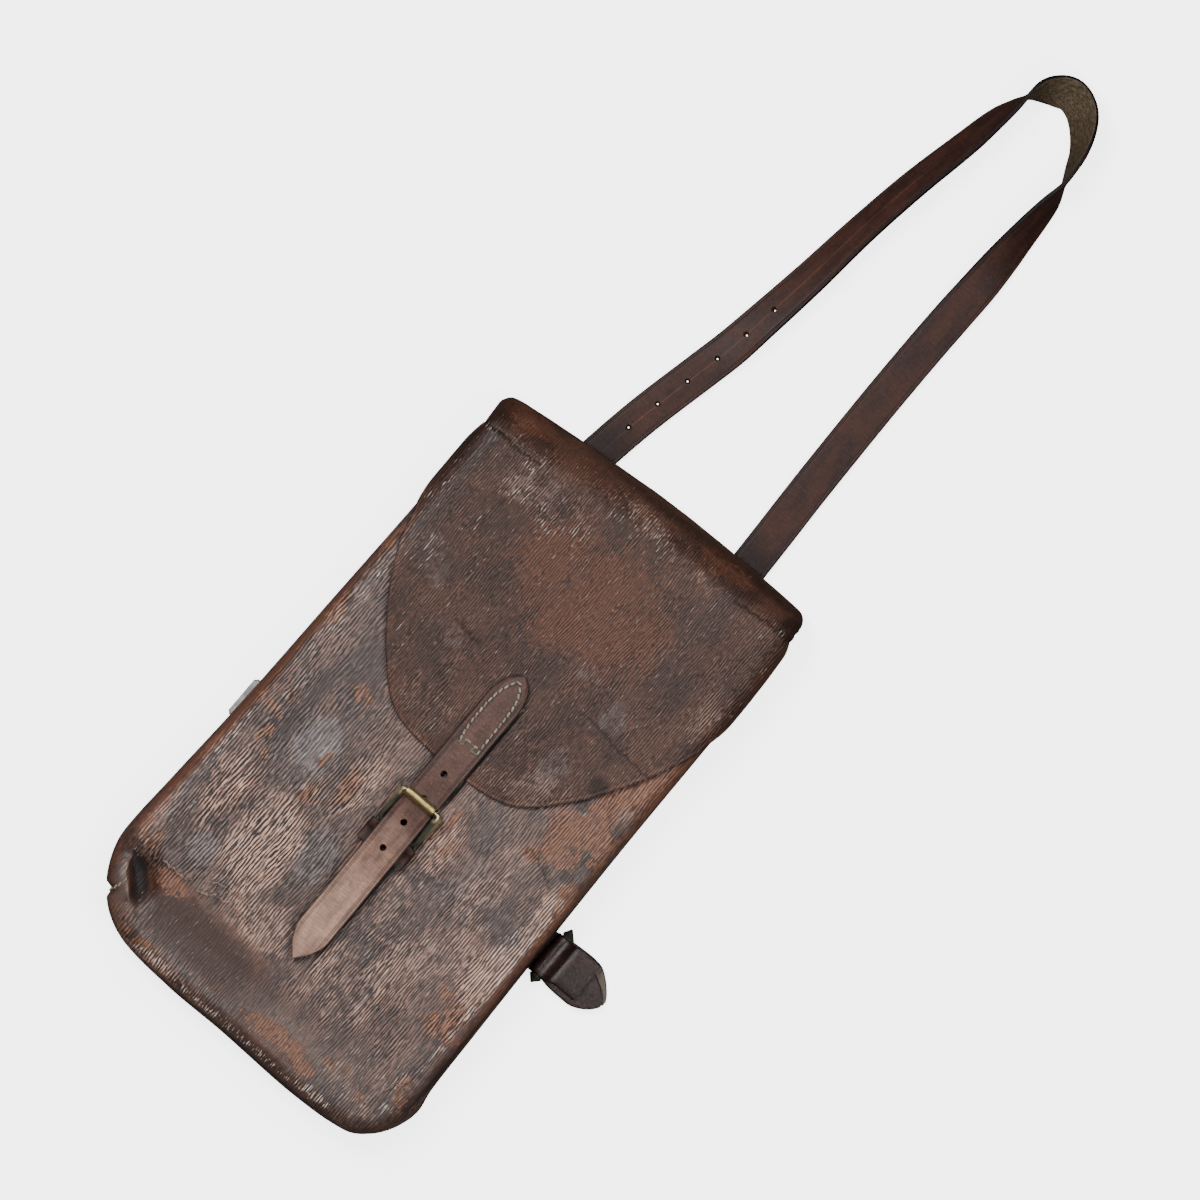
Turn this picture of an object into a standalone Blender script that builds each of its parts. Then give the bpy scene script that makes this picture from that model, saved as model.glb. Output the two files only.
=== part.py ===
"""A leather dispatch case lying on its back, with its flap buckled down.

Metres, +Z up. The origin is the middle of the strap across the back, where the case rests.
+Y points at the fold of the flap and at the shoulder strap, +X to the right seen from above.
"""
import math

import bmesh
import bpy
from mathutils import Vector

# Leather thicknesses and the air between pieces
FRONT_LEATHER = 0.0025
BACK_LEATHER = 0.0025
STRAP_LEATHER = 0.0022
CHAPE_LEATHER = 0.0018
FIT_GAP = 0.0003
FLAP_GAP = 0.0010
SHOULDER_WIDTH = 0.0225
SHOULDER_LEATHER = 0.0030
BACK_STRAP_LEATHER = 0.0028

# Heights above the table
BACK_UNDERSIDE = SHOULDER_LEATHER + FIT_GAP
BACK_INSIDE = BACK_UNDERSIDE + BACK_LEATHER
SHELL_FOOT = BACK_INSIDE + FIT_GAP
FRONT_TOP = 0.0335
WALL_MIDDLE = 0.0145

# The moulded front: its edge rounding, the sag of its face and its bottom rim
EDGE_RADIUS = 0.011
FACE_SAG = 0.0042
SAG_HALF_WIDTH = 0.096
RIM_START = -0.1440
RIM_END = -0.1180
MOUTH_LEFT = 0.2130
MOUTH_RIGHT = 0.2300

# Case outline, one row for each section: height up the case, left edge, right edge
CASE_SECTIONS = (
    (0.2400, -0.1090, 0.1040),
    (0.2000, -0.1098, 0.1068),
    (0.1500, -0.1100, 0.1078),
    (0.0800, -0.1112, 0.1088),
    (0.0000, -0.1125, 0.1112),
    (-0.0600, -0.1150, 0.1133),
    (-0.1000, -0.1162, 0.1140),
    (-0.1150, -0.1128, 0.1134),
    (-0.1300, -0.1045, 0.1108),
    (-0.1420, -0.0915, 0.1040),
    (-0.1490, -0.0735, 0.0925),
)
CASE_BASE = ((-0.0400, -0.1517), (0.0000, -0.1515), (0.0600, -0.1524))

# The back panel stands out past the front's foot, most at its lower right corner
BACK_LIP = 0.0012
CORNER_REACH = 0.0037
CORNER_AT = -0.1180
CORNER_SPREAD = 0.0150

# The deep hollow inside the lower left corner, with a steep side and a shallow side
HOLLOW_AT = (-0.0955, -0.1145)
HOLLOW_RUN = (0.72, -0.69)
HOLLOW_DEPTH = 0.0085
HOLLOW_HALF_LENGTH = 0.0145
HOLLOW_STEEP = 0.0048
HOLLOW_SHALLOW = 0.0130

# The pinched dart in the lower left edge
DART_AT = (-0.1020, -0.1320)
DART_INWARD = (0.75, 0.66)
DART_DEPTH = 0.0028
DART_HALF_WIDTH = 0.0070

# Flap edge in the flat leather, from its left end round to its right end: across, up the case
FLAP_EDGE = (
    (-0.1110, 0.2150),
    (-0.1180, 0.2100),
    (-0.1226, 0.1950),
    (-0.1176, 0.1750),
    (-0.1124, 0.1600),
    (-0.1070, 0.1470),
    (-0.1023, 0.1300),
    (-0.0880, 0.1030),
    (-0.0600, 0.0690),
    (-0.0400, 0.0545),
    (-0.0150, 0.0507),
    (0.0150, 0.0505),
    (0.0450, 0.0575),
    (0.0700, 0.0820),
    (0.0900, 0.1130),
    (0.0995, 0.1330),
    (0.1050, 0.1480),
    (0.1075, 0.1580),
    (0.1146, 0.1750),
    (0.1186, 0.1950),
    (0.1150, 0.2180),
    (0.1046, 0.2320),
)

# Outer line of the fold over the top: across, up the case
FOLD_LINE = (
    (-0.1102, 0.2325),
    (-0.1070, 0.2372),
    (-0.0900, 0.2402),
    (-0.0600, 0.2440),
    (0.0000, 0.2495),
    (0.0600, 0.2510),
    (0.0980, 0.2507),
    (0.1030, 0.2492),
    (0.1052, 0.2450),
)

# The leather's path from the front's mouth round the fold: share of the way out, share of the height
FOLD_PROFILE = (
    (0.16, 0.975),
    (0.36, 0.88),
    (0.56, 0.71),
    (0.74, 0.51),
    (0.89, 0.31),
    (0.98, 0.17),
    (0.97, 0.07),
    (0.85, 0.015),
    (0.66, 0.00),
)

# Closure strap: place along the case, centre across, height of its underside over the front
ON_FLAP = FLAP_GAP + BACK_LEATHER + 2 * FIT_GAP
STRAP_STATIONS = (
    (0.1175, 0.0025, ON_FLAP),
    (0.1000, 0.0024, ON_FLAP),
    (0.0620, 0.0027, ON_FLAP),
    (0.0480, 0.0028, ON_FLAP),
    (0.0380, 0.0028, 0.0036),
    (0.0265, 0.0030, 0.0031),
    (0.0205, 0.0031, 0.0033),
    (0.0105, 0.0032, 0.0070),
    (0.0040, 0.0033, 0.0093),
    (-0.0030, 0.0034, 0.0095),
    (-0.0120, 0.0036, 0.0082),
    (-0.0280, 0.0039, 0.0056),
    (-0.0500, 0.0043, 0.0043),
    (-0.0750, 0.0046, 0.0042),
    (-0.0925, 0.0050, 0.0032),
)
STRAP_WIDTH = 0.0220
HEAD_SHOULDER = 0.1000
TAIL_SHOULDER = -0.0770
STRAP_HOLES = (0.0445, 0.0265, 0.0080, -0.0110)
STRAP_HOLE_RADIUS = 0.0020

# Front buckle
BUCKLE_CENTRE = 0.0035
BUCKLE_HALF_WIDTH = 0.0141
BUCKLE_CORNER = 0.0028
HEEL_PLACE = 0.0020
HEEL_LIFT = 0.0047
HEEL_RADIUS = 0.0017
FRONT_BAR_PLACE = 0.0230
FRONT_BAR_LIFT = 0.0081
FRONT_BAR_RADIUS = 0.0012
SIDE_RADIUS = 0.0019
ROLLER_RADIUS = 0.0024
ROLLER_BORE = 0.0015
ROLLER_CENTRE = 0.0027
ROLLER_LENGTH = 0.0205
PRONG_RADIUS = 0.0011
PRONG_TIP_RADIUS = 0.0008
PRONG_TIP = 0.0270
CHAPE_END = -0.0150
CHAPE_HALF_WIDTH = 0.0162
CHAPE_NECK = 0.0112

# Shoulder strap, along its middle: across, up the case, lean of its width in degrees.
# A lean of 180 lies flat with the grain up, 90 stands on edge, and less shows the flesh side.
SHOULDER_STATIONS = (
    (-0.0555, 0.1636, 180.0),
    (-0.0550, 0.2000, 180.0),
    (-0.0485, 0.2500, 180.0),
    (-0.0435, 0.2800, 180.0),
    (-0.0348, 0.3200, 178.0),
    (-0.0305, 0.3400, 170.0),
    (-0.0275, 0.3600, 159.0),
    (-0.0220, 0.4000, 148.0),
    (-0.0175, 0.4400, 139.0),
    (-0.0115, 0.4800, 135.0),
    (-0.0035, 0.5200, 128.0),
    (0.0000, 0.5400, 119.0),
    (0.0027, 0.5510, 108.0),
    (0.0060, 0.5620, 90.0),
    (0.0105, 0.5695, 62.0),
    (0.0160, 0.5750, 43.0),
    (0.0235, 0.5792, 32.0),
    (0.0305, 0.5785, 34.0),
    (0.0375, 0.5745, 41.0),
    (0.0440, 0.5670, 54.0),
    (0.0495, 0.5570, 68.0),
    (0.0525, 0.5470, 78.0),
    (0.0550, 0.5370, 91.0),
    (0.0562, 0.5260, 110.0),
    (0.0562, 0.5150, 121.0),
    (0.0560, 0.5000, 132.0),
    (0.0560, 0.4800, 148.0),
    (0.0560, 0.4600, 163.0),
    (0.0555, 0.4400, 172.0),
    (0.0552, 0.4100, 179.0),
    (0.0555, 0.3700, 180.0),
    (0.0570, 0.3100, 180.0),
    (0.0587, 0.2700, 180.0),
    (0.0600, 0.2300, 180.0),
    (0.0605, 0.1900, 180.0),
)
SHOULDER_HOLES = 6
FIRST_SHOULDER_HOLE = 0.2670
HOLE_PITCH = 0.0217
SHOULDER_HOLE_RADIUS = 0.0015

# Strap across the back, one row for each section: across, lower edge, upper edge
BACK_STRAP_SECTIONS = (
    (-0.1165, -0.0080, 0.0145),
    (-0.1155, -0.0097, 0.0162),
    (-0.1120, -0.0100, 0.0165),
    (0.1050, -0.0100, 0.0165),
    (0.1250, -0.0100, 0.0190),
    (0.1440, -0.0097, 0.0190),
    (0.1520, -0.0062, 0.0140),
    (0.1580, -0.0010, 0.0078),
    (0.1600, 0.0020, 0.0045),
)

# Fold of leather round the side bar, lower layer first: across, lower edge, upper edge
SIDE_LOWER = (
    (0.1592, -0.0003, 0.0018),
    (0.1572, -0.0032, 0.0048),
    (0.1540, -0.0062, 0.0078),
    (0.1500, -0.0088, 0.0103),
    (0.1450, -0.0107, 0.0128),
    (0.1400, -0.0110, 0.0140),
    (0.1290, -0.0108, 0.0150),
)
SIDE_UPPER = ((0.1290, -0.0072, 0.0186), (0.1340, -0.0070, 0.0190), (0.1445, -0.0068, 0.0188))
SIDE_ROLL_EDGES = (-0.0090, 0.0180)
SIDE_BAR_AT = 0.1190
SIDE_BAR_RADIUS = 0.0035
SIDE_BAR_SPAN = (-0.0098, 0.0187)
SIDE_BAR_TIPS = ((0.1190, -0.0146), (0.1178, 0.0242))
SIDE_BAR_BASE = 0.0043

# Hidden buckle on the back, drawn round the shoulder strap's middle line
BACK_BUCKLE_TOP = 0.1633
BACK_BUCKLE_HEIGHT = 0.0150
BACK_BUCKLE_HALF_WIDTH = 0.0155
BACK_BUCKLE_WIRE = 0.0030
BACK_BUCKLE_THICKNESS = 0.0026
BACK_CHAPE_END = 0.1100

# Cells of the leather sheets
SHELL_SIDE_CELLS = 26
SHELL_BASE_CELLS = 20
SHEET_BASE_CELLS = 24
FLAP_SIDE_CELLS = 21
BACK_SIDE_CELLS = 11
FINER_TO_CORNER = 0.6
FINER_AT_ENDS = 0.75

# Colour, roughness and metallic value of each finish
FINISHES = {
    "front_leather": ((0.085, 0.050, 0.042), 0.48, 0.0),
    "flap_leather": ((0.070, 0.040, 0.032), 0.46, 0.0),
    "strap_leather": ((0.110, 0.066, 0.052), 0.55, 0.0),
    "dark_leather": ((0.034, 0.022, 0.020), 0.42, 0.0),
    "shoulder_leather": ((0.052, 0.024, 0.019), 0.40, 0.0),
    "roller_brass": ((0.62, 0.44, 0.20), 0.24, 1.0),
    "aged_brass": ((0.18, 0.16, 0.10), 0.45, 1.0),
    "plain_steel": ((0.36, 0.35, 0.34), 0.38, 1.0),
}


def smooth_row(table, where):
    """The later columns of a table at a place in its first column, on a smooth curve."""
    rows = sorted(table)
    where = min(max(where, rows[0][0]), rows[-1][0])
    index = 0
    while index < len(rows) - 2 and where > rows[index + 1][0]:
        index += 1
    start, end = rows[index], rows[index + 1]
    before = rows[max(index - 1, 0)]
    after = rows[min(index + 2, len(rows) - 1)]
    span = end[0] - start[0]
    t = (where - start[0]) / span
    values = []
    for column in range(1, len(start)):
        start_slope = (end[column] - before[column]) / (end[0] - before[0])
        end_slope = (after[column] - start[column]) / (after[0] - start[0])
        value = (2 * t ** 3 - 3 * t ** 2 + 1) * start[column]
        value += (t ** 3 - 2 * t ** 2 + t) * span * start_slope
        value += (3 * t ** 2 - 2 * t ** 3) * end[column]
        value += (t ** 3 - t ** 2) * span * end_slope
        values.append(value)
    return values


def by_length(points):
    """The points with their distance along the line put first."""
    rows = [(0.0, *points[0])]
    for before, point in zip(points, points[1:]):
        step = math.dist(before[:2], point[:2])
        rows.append((rows[-1][0] + step, *point))
    return rows


def along(points, fractions):
    """Places on the smooth curve through the points, at fractions of its length."""
    rows = by_length(points)
    return [smooth_row(rows, fraction * rows[-1][0]) for fraction in fractions]


def smooth_step(low, high, value):
    """0 below low, 1 above high and a smooth rise between them."""
    t = min(max((value - low) / (high - low), 0.0), 1.0)
    return t * t * (3 - 2 * t)


def even(t):
    """Fractions with the same step all along."""
    return t


def finer_at_end(t):
    """Fractions that crowd together towards 1."""
    return t * (1 + FINER_TO_CORNER * (1 - t))


def finer_at_both(t):
    """Fractions that crowd together at 0 and at 1."""
    return t - FINER_AT_ENDS * math.sin(2 * math.pi * t) / (2 * math.pi)


def case_outline(top_left, top_right, lip, corner_reach):
    """The case's edge seen from above, down its left side, along its base and up its right."""
    left_side = [(smooth_row(CASE_SECTIONS, top_left)[0] - lip, top_left)]
    right_side = [(smooth_row(CASE_SECTIONS, top_right)[1] + lip, top_right)]
    for y, left, right in CASE_SECTIONS:
        bulge = corner_reach * math.exp(-((y - CORNER_AT) / CORNER_SPREAD) ** 2)
        if y < top_left - 0.004:
            left_side.append((left - lip, y))
        if y < top_right - 0.004:
            right_side.append((right + lip + bulge, y))
    base = [(x, y - lip) for x, y in CASE_BASE]
    return left_side + base + right_side[::-1]


def edge_fractions(outline, side_cells, base_cells, spacing):
    """Fractions along an open U where the cells of a sheet start, spaced down each side."""
    trial = [k / 400 for k in range(401)]
    places = along(outline, trial)
    left_corner = max(range(401), key=lambda k: -places[k][0] - places[k][1])
    right_corner = max(range(401), key=lambda k: places[k][0] - places[k][1])
    first, last = trial[left_corner], trial[right_corner]
    left = [first * spacing(k / side_cells) for k in range(side_cells)]
    base = [first + (last - first) * finer_at_both(k / base_cells) for k in range(base_cells)]
    right = [1 - (1 - last) * spacing(1 - k / side_cells) for k in range(side_cells + 1)]
    return left + base + right


def inward_normals(outline, fractions):
    """Directions from the edge of an open U towards its inside."""
    step = 0.0015
    normals = []
    for fraction in fractions:
        low, high = max(fraction - step, 0.0), min(fraction + step, 1.0)
        start, end = along(outline, (low, high))
        run = Vector((end[0] - start[0], end[1] - start[1])).normalized()
        normals.append(Vector((-run.y, run.x)))
    return normals


def fill_inside(border, side_cells, base_cells):
    """A grid of flat points inside an open U, base row first, blended from its four edges."""
    left = border[:side_cells + 1][::-1]
    base = border[side_cells:side_cells + base_cells + 1]
    right = border[side_cells + base_cells:]
    top = [left[-1].lerp(right[-1], finer_at_both(k / base_cells)) for k in range(base_cells + 1)]
    grid = []
    for j in range(side_cells + 1):
        v = j / side_cells
        row = []
        for i in range(base_cells + 1):
            u = i / base_cells
            sides = left[j] * (1 - u) + right[j] * u
            ends = base[i] * (1 - v) + top[i] * v
            low_corners = base[0] * (1 - u) + base[-1] * u
            high_corners = top[0] * (1 - u) + top[-1] * u
            row.append(sides + ends - low_corners * (1 - v) - high_corners * v)
        grid.append(row)
    return grid


def hollow(x, y):
    """Depth of the hollow beside the lower left corner."""
    off_x, off_y = x - HOLLOW_AT[0], y - HOLLOW_AT[1]
    lengthwise = off_x * HOLLOW_RUN[0] + off_y * HOLLOW_RUN[1]
    across = -off_x * HOLLOW_RUN[1] + off_y * HOLLOW_RUN[0]
    spread = HOLLOW_STEEP if across < 0 else HOLLOW_SHALLOW
    fall = (lengthwise / HOLLOW_HALF_LENGTH) ** 2 + (across / spread) ** 2
    return HOLLOW_DEPTH * math.exp(-fall)


def front_height(x, y):
    """Height of the front's face inside its rounded edge."""
    across = max(0.0, 1 - (x / SAG_HALF_WIDTH) ** 2)
    sag = FACE_SAG * across ** 1.5 * smooth_step(RIM_START, RIM_END, y)
    return FRONT_TOP - sag - hollow(x, y)


def dart(x, y):
    """How far the edge is pinched in at the dart."""
    reach = math.dist((x, y), DART_AT)
    pinch = DART_DEPTH * max(0.0, 1 - reach / DART_HALF_WIDTH)
    return Vector((DART_INWARD[0] * pinch, DART_INWARD[1] * pinch, 0.0))


def border_of(grid):
    """The left, base and right edges of a grid, in the order of its open U."""
    left = [row[0] for row in grid[::-1]]
    right = [row[-1] for row in grid[1:]]
    return left + grid[0][1:] + right


def grid_faces(mesh, grid):
    for lower, upper in zip(grid, grid[1:]):
        for i in range(len(lower) - 1):
            mesh.faces.new((lower[i], lower[i + 1], upper[i + 1], upper[i]))


def make_object(name, mesh, finish):
    """Puts a mesh in the scene as one named piece with its own material."""
    data = bpy.data.meshes.new(name)
    mesh.to_mesh(data)
    mesh.free()
    data.shade_smooth()
    data.set_sharp_from_angle(angle=math.radians(35))
    piece = bpy.data.objects.new(name, data)
    bpy.context.scene.collection.objects.link(piece)
    material = bpy.data.materials.new(name)
    material.use_nodes = True
    colour, roughness, metallic = FINISHES[finish]
    shader = material.node_tree.nodes["Principled BSDF"]
    shader.inputs["Base Color"].default_value = (*colour, 1.0)
    shader.inputs["Roughness"].default_value = roughness
    shader.inputs["Metallic"].default_value = metallic
    data.materials.append(material)
    return piece


def thicken(piece, thickness, side):
    """Gives a sheet its wall: side 1 adds it outside the sheet, and -1 inside."""
    wall = piece.modifiers.new("wall", "SOLIDIFY")
    wall.thickness = thickness
    wall.offset = side


def sweep(name, rings, finish, closed=False):
    """One closed solid through rings of points, with flat ends unless it closes on itself."""
    mesh = bmesh.new()
    rows = [[mesh.verts.new(point) for point in ring] for ring in rings]
    pairs = list(zip(rows, rows[1:]))
    if closed:
        pairs.append((rows[-1], rows[0]))
    for start, end in pairs:
        for k in range(len(start)):
            after = (k + 1) % len(start)
            mesh.faces.new((start[k], start[after], end[after], end[k]))
    if not closed:
        mesh.faces.new(rows[0][::-1])
        mesh.faces.new(rows[-1])
    bmesh.ops.recalc_face_normals(mesh, faces=mesh.faces)
    return make_object(name, mesh, finish)


def cut(piece, points, depth_direction, radius, length):
    """Cuts round holes at points, each along its own direction."""
    for number, (point, direction) in enumerate(zip(points, depth_direction)):
        mesh = bmesh.new()
        bmesh.ops.create_cone(mesh, cap_ends=True, segments=12, radius1=radius, radius2=radius, depth=length)
        turn = Vector((0, 0, 1)).rotation_difference(direction)
        bmesh.ops.rotate(mesh, verts=mesh.verts, matrix=turn.to_matrix())
        bmesh.ops.translate(mesh, verts=mesh.verts, vec=point)
        add_cutter(piece, mesh, f"{piece.name}_hole_{number + 1}")


def add_cutter(piece, mesh, name):
    """Takes the mesh's space out of the piece."""
    data = bpy.data.meshes.new(name)
    mesh.to_mesh(data)
    mesh.free()
    cutter = bpy.data.objects.new(name, data)
    bpy.context.scene.collection.objects.link(cutter)
    cutter.hide_render = True
    cutter.display_type = "WIRE"
    opening = piece.modifiers.new(name, "BOOLEAN")
    opening.object = cutter
    opening.operation = "DIFFERENCE"
    opening.solver = "EXACT"


def tube_rings(path, radii, sides, closed=False):
    """Round rings along a path, carried from one to the next without twist."""
    count = len(path)
    tangents = []
    for k in range(count):
        before = path[k - 1] if closed or k > 0 else path[0]
        after = path[(k + 1) % count] if closed or k < count - 1 else path[-1]
        tangents.append((after - before).normalized())
    side = tangents[0].orthogonal().normalized()
    rings = []
    for point, tangent, radius in zip(path, tangents, radii):
        side = (side - tangent * side.dot(tangent)).normalized()
        up = tangent.cross(side)
        turns = [2 * math.pi * k / sides for k in range(sides)]
        rings.append([point + (side * math.cos(a) + up * math.sin(a)) * radius for a in turns])
    return rings


def flat_ring(middle, half_width, half_thickness):
    """Four corners of a flat strap's section."""
    return [
        middle - half_width - half_thickness,
        middle + half_width - half_thickness,
        middle + half_width + half_thickness,
        middle - half_width + half_thickness,
    ]


def front_shell():
    """The moulded front: a tray with rounded edges, open at the mouth and at its foot."""
    outline = case_outline(MOUTH_LEFT, MOUTH_RIGHT, 0.0, 0.0)
    fractions = edge_fractions(outline, SHELL_SIDE_CELLS, SHELL_BASE_CELLS, finer_at_end)
    edge = [Vector(place) for place in along(outline, fractions)]
    normals = inward_normals(outline, fractions)
    inner = [point + normal * EDGE_RADIUS for point, normal in zip(edge, normals)]
    flat = fill_inside(inner, SHELL_SIDE_CELLS, SHELL_BASE_CELLS)
    mesh = bmesh.new()
    grid = [[mesh.verts.new((p.x, p.y, front_height(p.x, p.y))) for p in row] for row in flat]
    grid_faces(mesh, grid)
    last = border_of(grid)
    tops = [front_height(point.x, point.y) for point in inner]
    levels = [(math.radians(angle), None) for angle in (67.5, 45.0, 22.5, 0.0)]
    levels += [(0.0, WALL_MIDDLE), (0.0, SHELL_FOOT)]
    for angle, level in levels:
        inset = EDGE_RADIUS * (1 - math.cos(angle))
        ring = []
        for point, normal, top in zip(edge, normals, tops):
            height = level or top - EDGE_RADIUS * (1 - math.sin(angle))
            place = (point + normal * inset).to_3d() + dart(point.x, point.y)
            ring.append(mesh.verts.new((place.x, place.y, height)))
        for k in range(len(ring) - 1):
            mesh.faces.new((ring[k], ring[k + 1], last[k + 1], last[k]))
        last = ring
    thicken(make_object("front_shell", mesh, "front_leather"), FRONT_LEATHER, -1)


def flap_point(across, y):
    """A point of the flat flap laid over the front, on the flap's inner face."""
    left, right = smooth_row(CASE_SECTIONS, y)
    side = -1 if across < 0 else 1
    wall = -left if across < 0 else right
    start = wall - EDGE_RADIUS
    reach = abs(across)
    if reach <= start:
        return Vector((across, y, front_height(across, y) + FLAP_GAP))
    radius = EDGE_RADIUS + FLAP_GAP
    angle = (reach - start) / radius
    centre = front_height(side * start, y) - EDGE_RADIUS
    if angle <= math.pi / 2:
        return Vector((side * (start + radius * math.sin(angle)), y, centre + radius * math.cos(angle)))
    hang = reach - start - radius * math.pi / 2
    return Vector((side * (wall + FLAP_GAP), y, centre - hang))


def fold_rows(mouth, back_ends):
    """Rows of points from the front's mouth round the fold to the top of the back panel."""
    rows = []
    columns = len(mouth)
    for out, rise in FOLD_PROFILE:
        row = []
        for k, start in enumerate(mouth):
            share = finer_at_both(k / (columns - 1))
            x = start.x + (back_ends[0] + (back_ends[1] - back_ends[0]) * share - start.x) * min(1.0, out)
            fold = smooth_row(FOLD_LINE, x)[0] - BACK_LEATHER
            z = BACK_INSIDE + rise * (start.z - BACK_INSIDE)
            row.append(Vector((x, start.y + (fold - start.y) * out, z)))
        rows.append(row)
    return rows


def back_and_flap():
    """One piece of leather: the flap, the fold over the top and the back panel."""
    fractions = edge_fractions(FLAP_EDGE, FLAP_SIDE_CELLS, SHEET_BASE_CELLS, even)
    edge = [Vector(place) for place in along(FLAP_EDGE, fractions)]
    pattern = fill_inside(edge, FLAP_SIDE_CELLS, SHEET_BASE_CELLS)
    rows = [[flap_point(p.x, p.y) for p in row] for row in pattern]
    top_left = smooth_row(FOLD_LINE, -1.0)[0]
    top_right = smooth_row(FOLD_LINE, 1.0)[0]
    left = smooth_row(CASE_SECTIONS, top_left)[0] - BACK_LIP
    right = smooth_row(CASE_SECTIONS, top_right)[1] + BACK_LIP
    folded = fold_rows(rows[-1], (left, right))
    rows += folded
    outline = case_outline(folded[-1][0].y, folded[-1][-1].y, BACK_LIP, CORNER_REACH)
    outline[0] = (folded[-1][0].x, folded[-1][0].y)
    outline[-1] = (folded[-1][-1].x, folded[-1][-1].y)
    fractions = edge_fractions(outline, BACK_SIDE_CELLS, SHEET_BASE_CELLS, finer_at_end)
    edge = [Vector(place) for place in along(outline, fractions)]
    panel = fill_inside(edge, BACK_SIDE_CELLS, SHEET_BASE_CELLS)
    top_bow = [point.y - flat.y for point, flat in zip(folded[-1], panel[-1])]
    for j in range(BACK_SIDE_CELLS - 1, -1, -1):
        bow = (j / BACK_SIDE_CELLS) ** 3
        row = [Vector((p.x, p.y + bow * extra, BACK_INSIDE)) for p, extra in zip(panel[j], top_bow)]
        rows.append(row)
    mesh = bmesh.new()
    grid_faces(mesh, [[mesh.verts.new(point) for point in row] for row in rows])
    thicken(make_object("back_and_flap", mesh, "flap_leather"), BACK_LEATHER, 1)


def strap_half_width(y):
    """Half of the closure strap's width, down to its rounded head and pointed tail."""
    head = STRAP_STATIONS[0][0]
    tail = STRAP_STATIONS[-1][0]
    if y > HEAD_SHOULDER:
        t = (y - HEAD_SHOULDER) / (head - HEAD_SHOULDER)
        return STRAP_WIDTH / 2 * max(0.05, (1 - t ** 2) ** 0.7)
    if y < TAIL_SHOULDER:
        t = (TAIL_SHOULDER - y) / (TAIL_SHOULDER - tail)
        return STRAP_WIDTH / 2 * max(0.05, 1 - t ** 1.35)
    return STRAP_WIDTH / 2


def strap_point(y):
    """Middle of the closure strap's underside at a place along the case."""
    centre, lift = smooth_row(STRAP_STATIONS, y)
    return Vector((centre, y, front_height(centre, y) + lift))


def closure_strap():
    """The strap sewn on the flap, under the roller, over the heel bar and on to its tail."""
    head, tail = STRAP_STATIONS[0][0], STRAP_STATIONS[-1][0]
    cells = 48
    rings = []
    for k in range(cells + 1):
        y = head + (tail - head) * finer_at_both(k / cells)
        step = 0.0005
        run = (strap_point(y - step) - strap_point(y + step)).normalized()
        rise = Vector((1, 0, 0)).cross(run) * -1
        middle = strap_point(y) + rise * STRAP_LEATHER / 2
        half_width = Vector((strap_half_width(y), 0, 0))
        rings.append(flat_ring(middle, half_width, rise * STRAP_LEATHER / 2))
    strap = sweep("closure_strap", rings, "strap_leather")
    holes = [strap_point(y) for y in STRAP_HOLES]
    cut(strap, holes, [Vector((0, 0, 1))] * len(holes), STRAP_HOLE_RADIUS, 0.012)


def buckle_height(y):
    """Height of the tilted buckle frame's middle at a place along the case."""
    heel = front_height(BUCKLE_CENTRE, HEEL_PLACE) + HEEL_LIFT
    front = front_height(BUCKLE_CENTRE, FRONT_BAR_PLACE) + FRONT_BAR_LIFT
    return heel + (front - heel) * (y - HEEL_PLACE) / (FRONT_BAR_PLACE - HEEL_PLACE)


def buckle_frame():
    """A wire frame: thin front bar for the roller, stout sides and a heel bar."""
    half = BUCKLE_HALF_WIDTH
    corners = (
        (half, FRONT_BAR_PLACE, 0.0, SIDE_RADIUS, FRONT_BAR_RADIUS),
        (-half, FRONT_BAR_PLACE, 90.0, FRONT_BAR_RADIUS, SIDE_RADIUS),
        (-half, HEEL_PLACE, 180.0, SIDE_RADIUS, HEEL_RADIUS),
        (half, HEEL_PLACE, 270.0, HEEL_RADIUS, SIDE_RADIUS),
    )
    path, radii = [], []
    for number, (x, y, start, first, second) in enumerate(corners):
        centre_x = BUCKLE_CENTRE + x - math.copysign(BUCKLE_CORNER, x)
        centre_y = y - BUCKLE_CORNER if number < 2 else y + BUCKLE_CORNER
        for k in range(5):
            angle = math.radians(start + 22.5 * k)
            place_y = centre_y + BUCKLE_CORNER * math.sin(angle)
            path.append(Vector((centre_x + BUCKLE_CORNER * math.cos(angle), place_y, buckle_height(place_y))))
            radii.append(first + (second - first) * k / 4)
    sweep("buckle_frame", tube_rings(path, radii, 10, closed=True), "aged_brass", closed=True)


def buckle_roller():
    """A turned tube on the frame's front bar."""
    mesh = bmesh.new()
    sides = 20
    y, z = FRONT_BAR_PLACE, buckle_height(FRONT_BAR_PLACE)
    half = ROLLER_LENGTH / 2
    ease = 0.0005
    profile = (
        (-half, ROLLER_BORE),
        (-half, ROLLER_RADIUS - ease),
        (-half + ease, ROLLER_RADIUS),
        (half - ease, ROLLER_RADIUS),
        (half, ROLLER_RADIUS - ease),
        (half, ROLLER_BORE),
    )
    rings = []
    for x, radius in profile:
        turns = [2 * math.pi * k / sides for k in range(sides)]
        ring = [(ROLLER_CENTRE + x, y + radius * math.cos(a), z + radius * math.sin(a)) for a in turns]
        rings.append([mesh.verts.new(point) for point in ring])
    for start, end in zip(rings, rings[1:] + rings[:1]):
        for k in range(sides):
            after = (k + 1) % sides
            mesh.faces.new((start[k], start[after], end[after], end[k]))
    bmesh.ops.recalc_face_normals(mesh, faces=mesh.faces)
    make_object("buckle_roller", mesh, "roller_brass")


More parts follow.
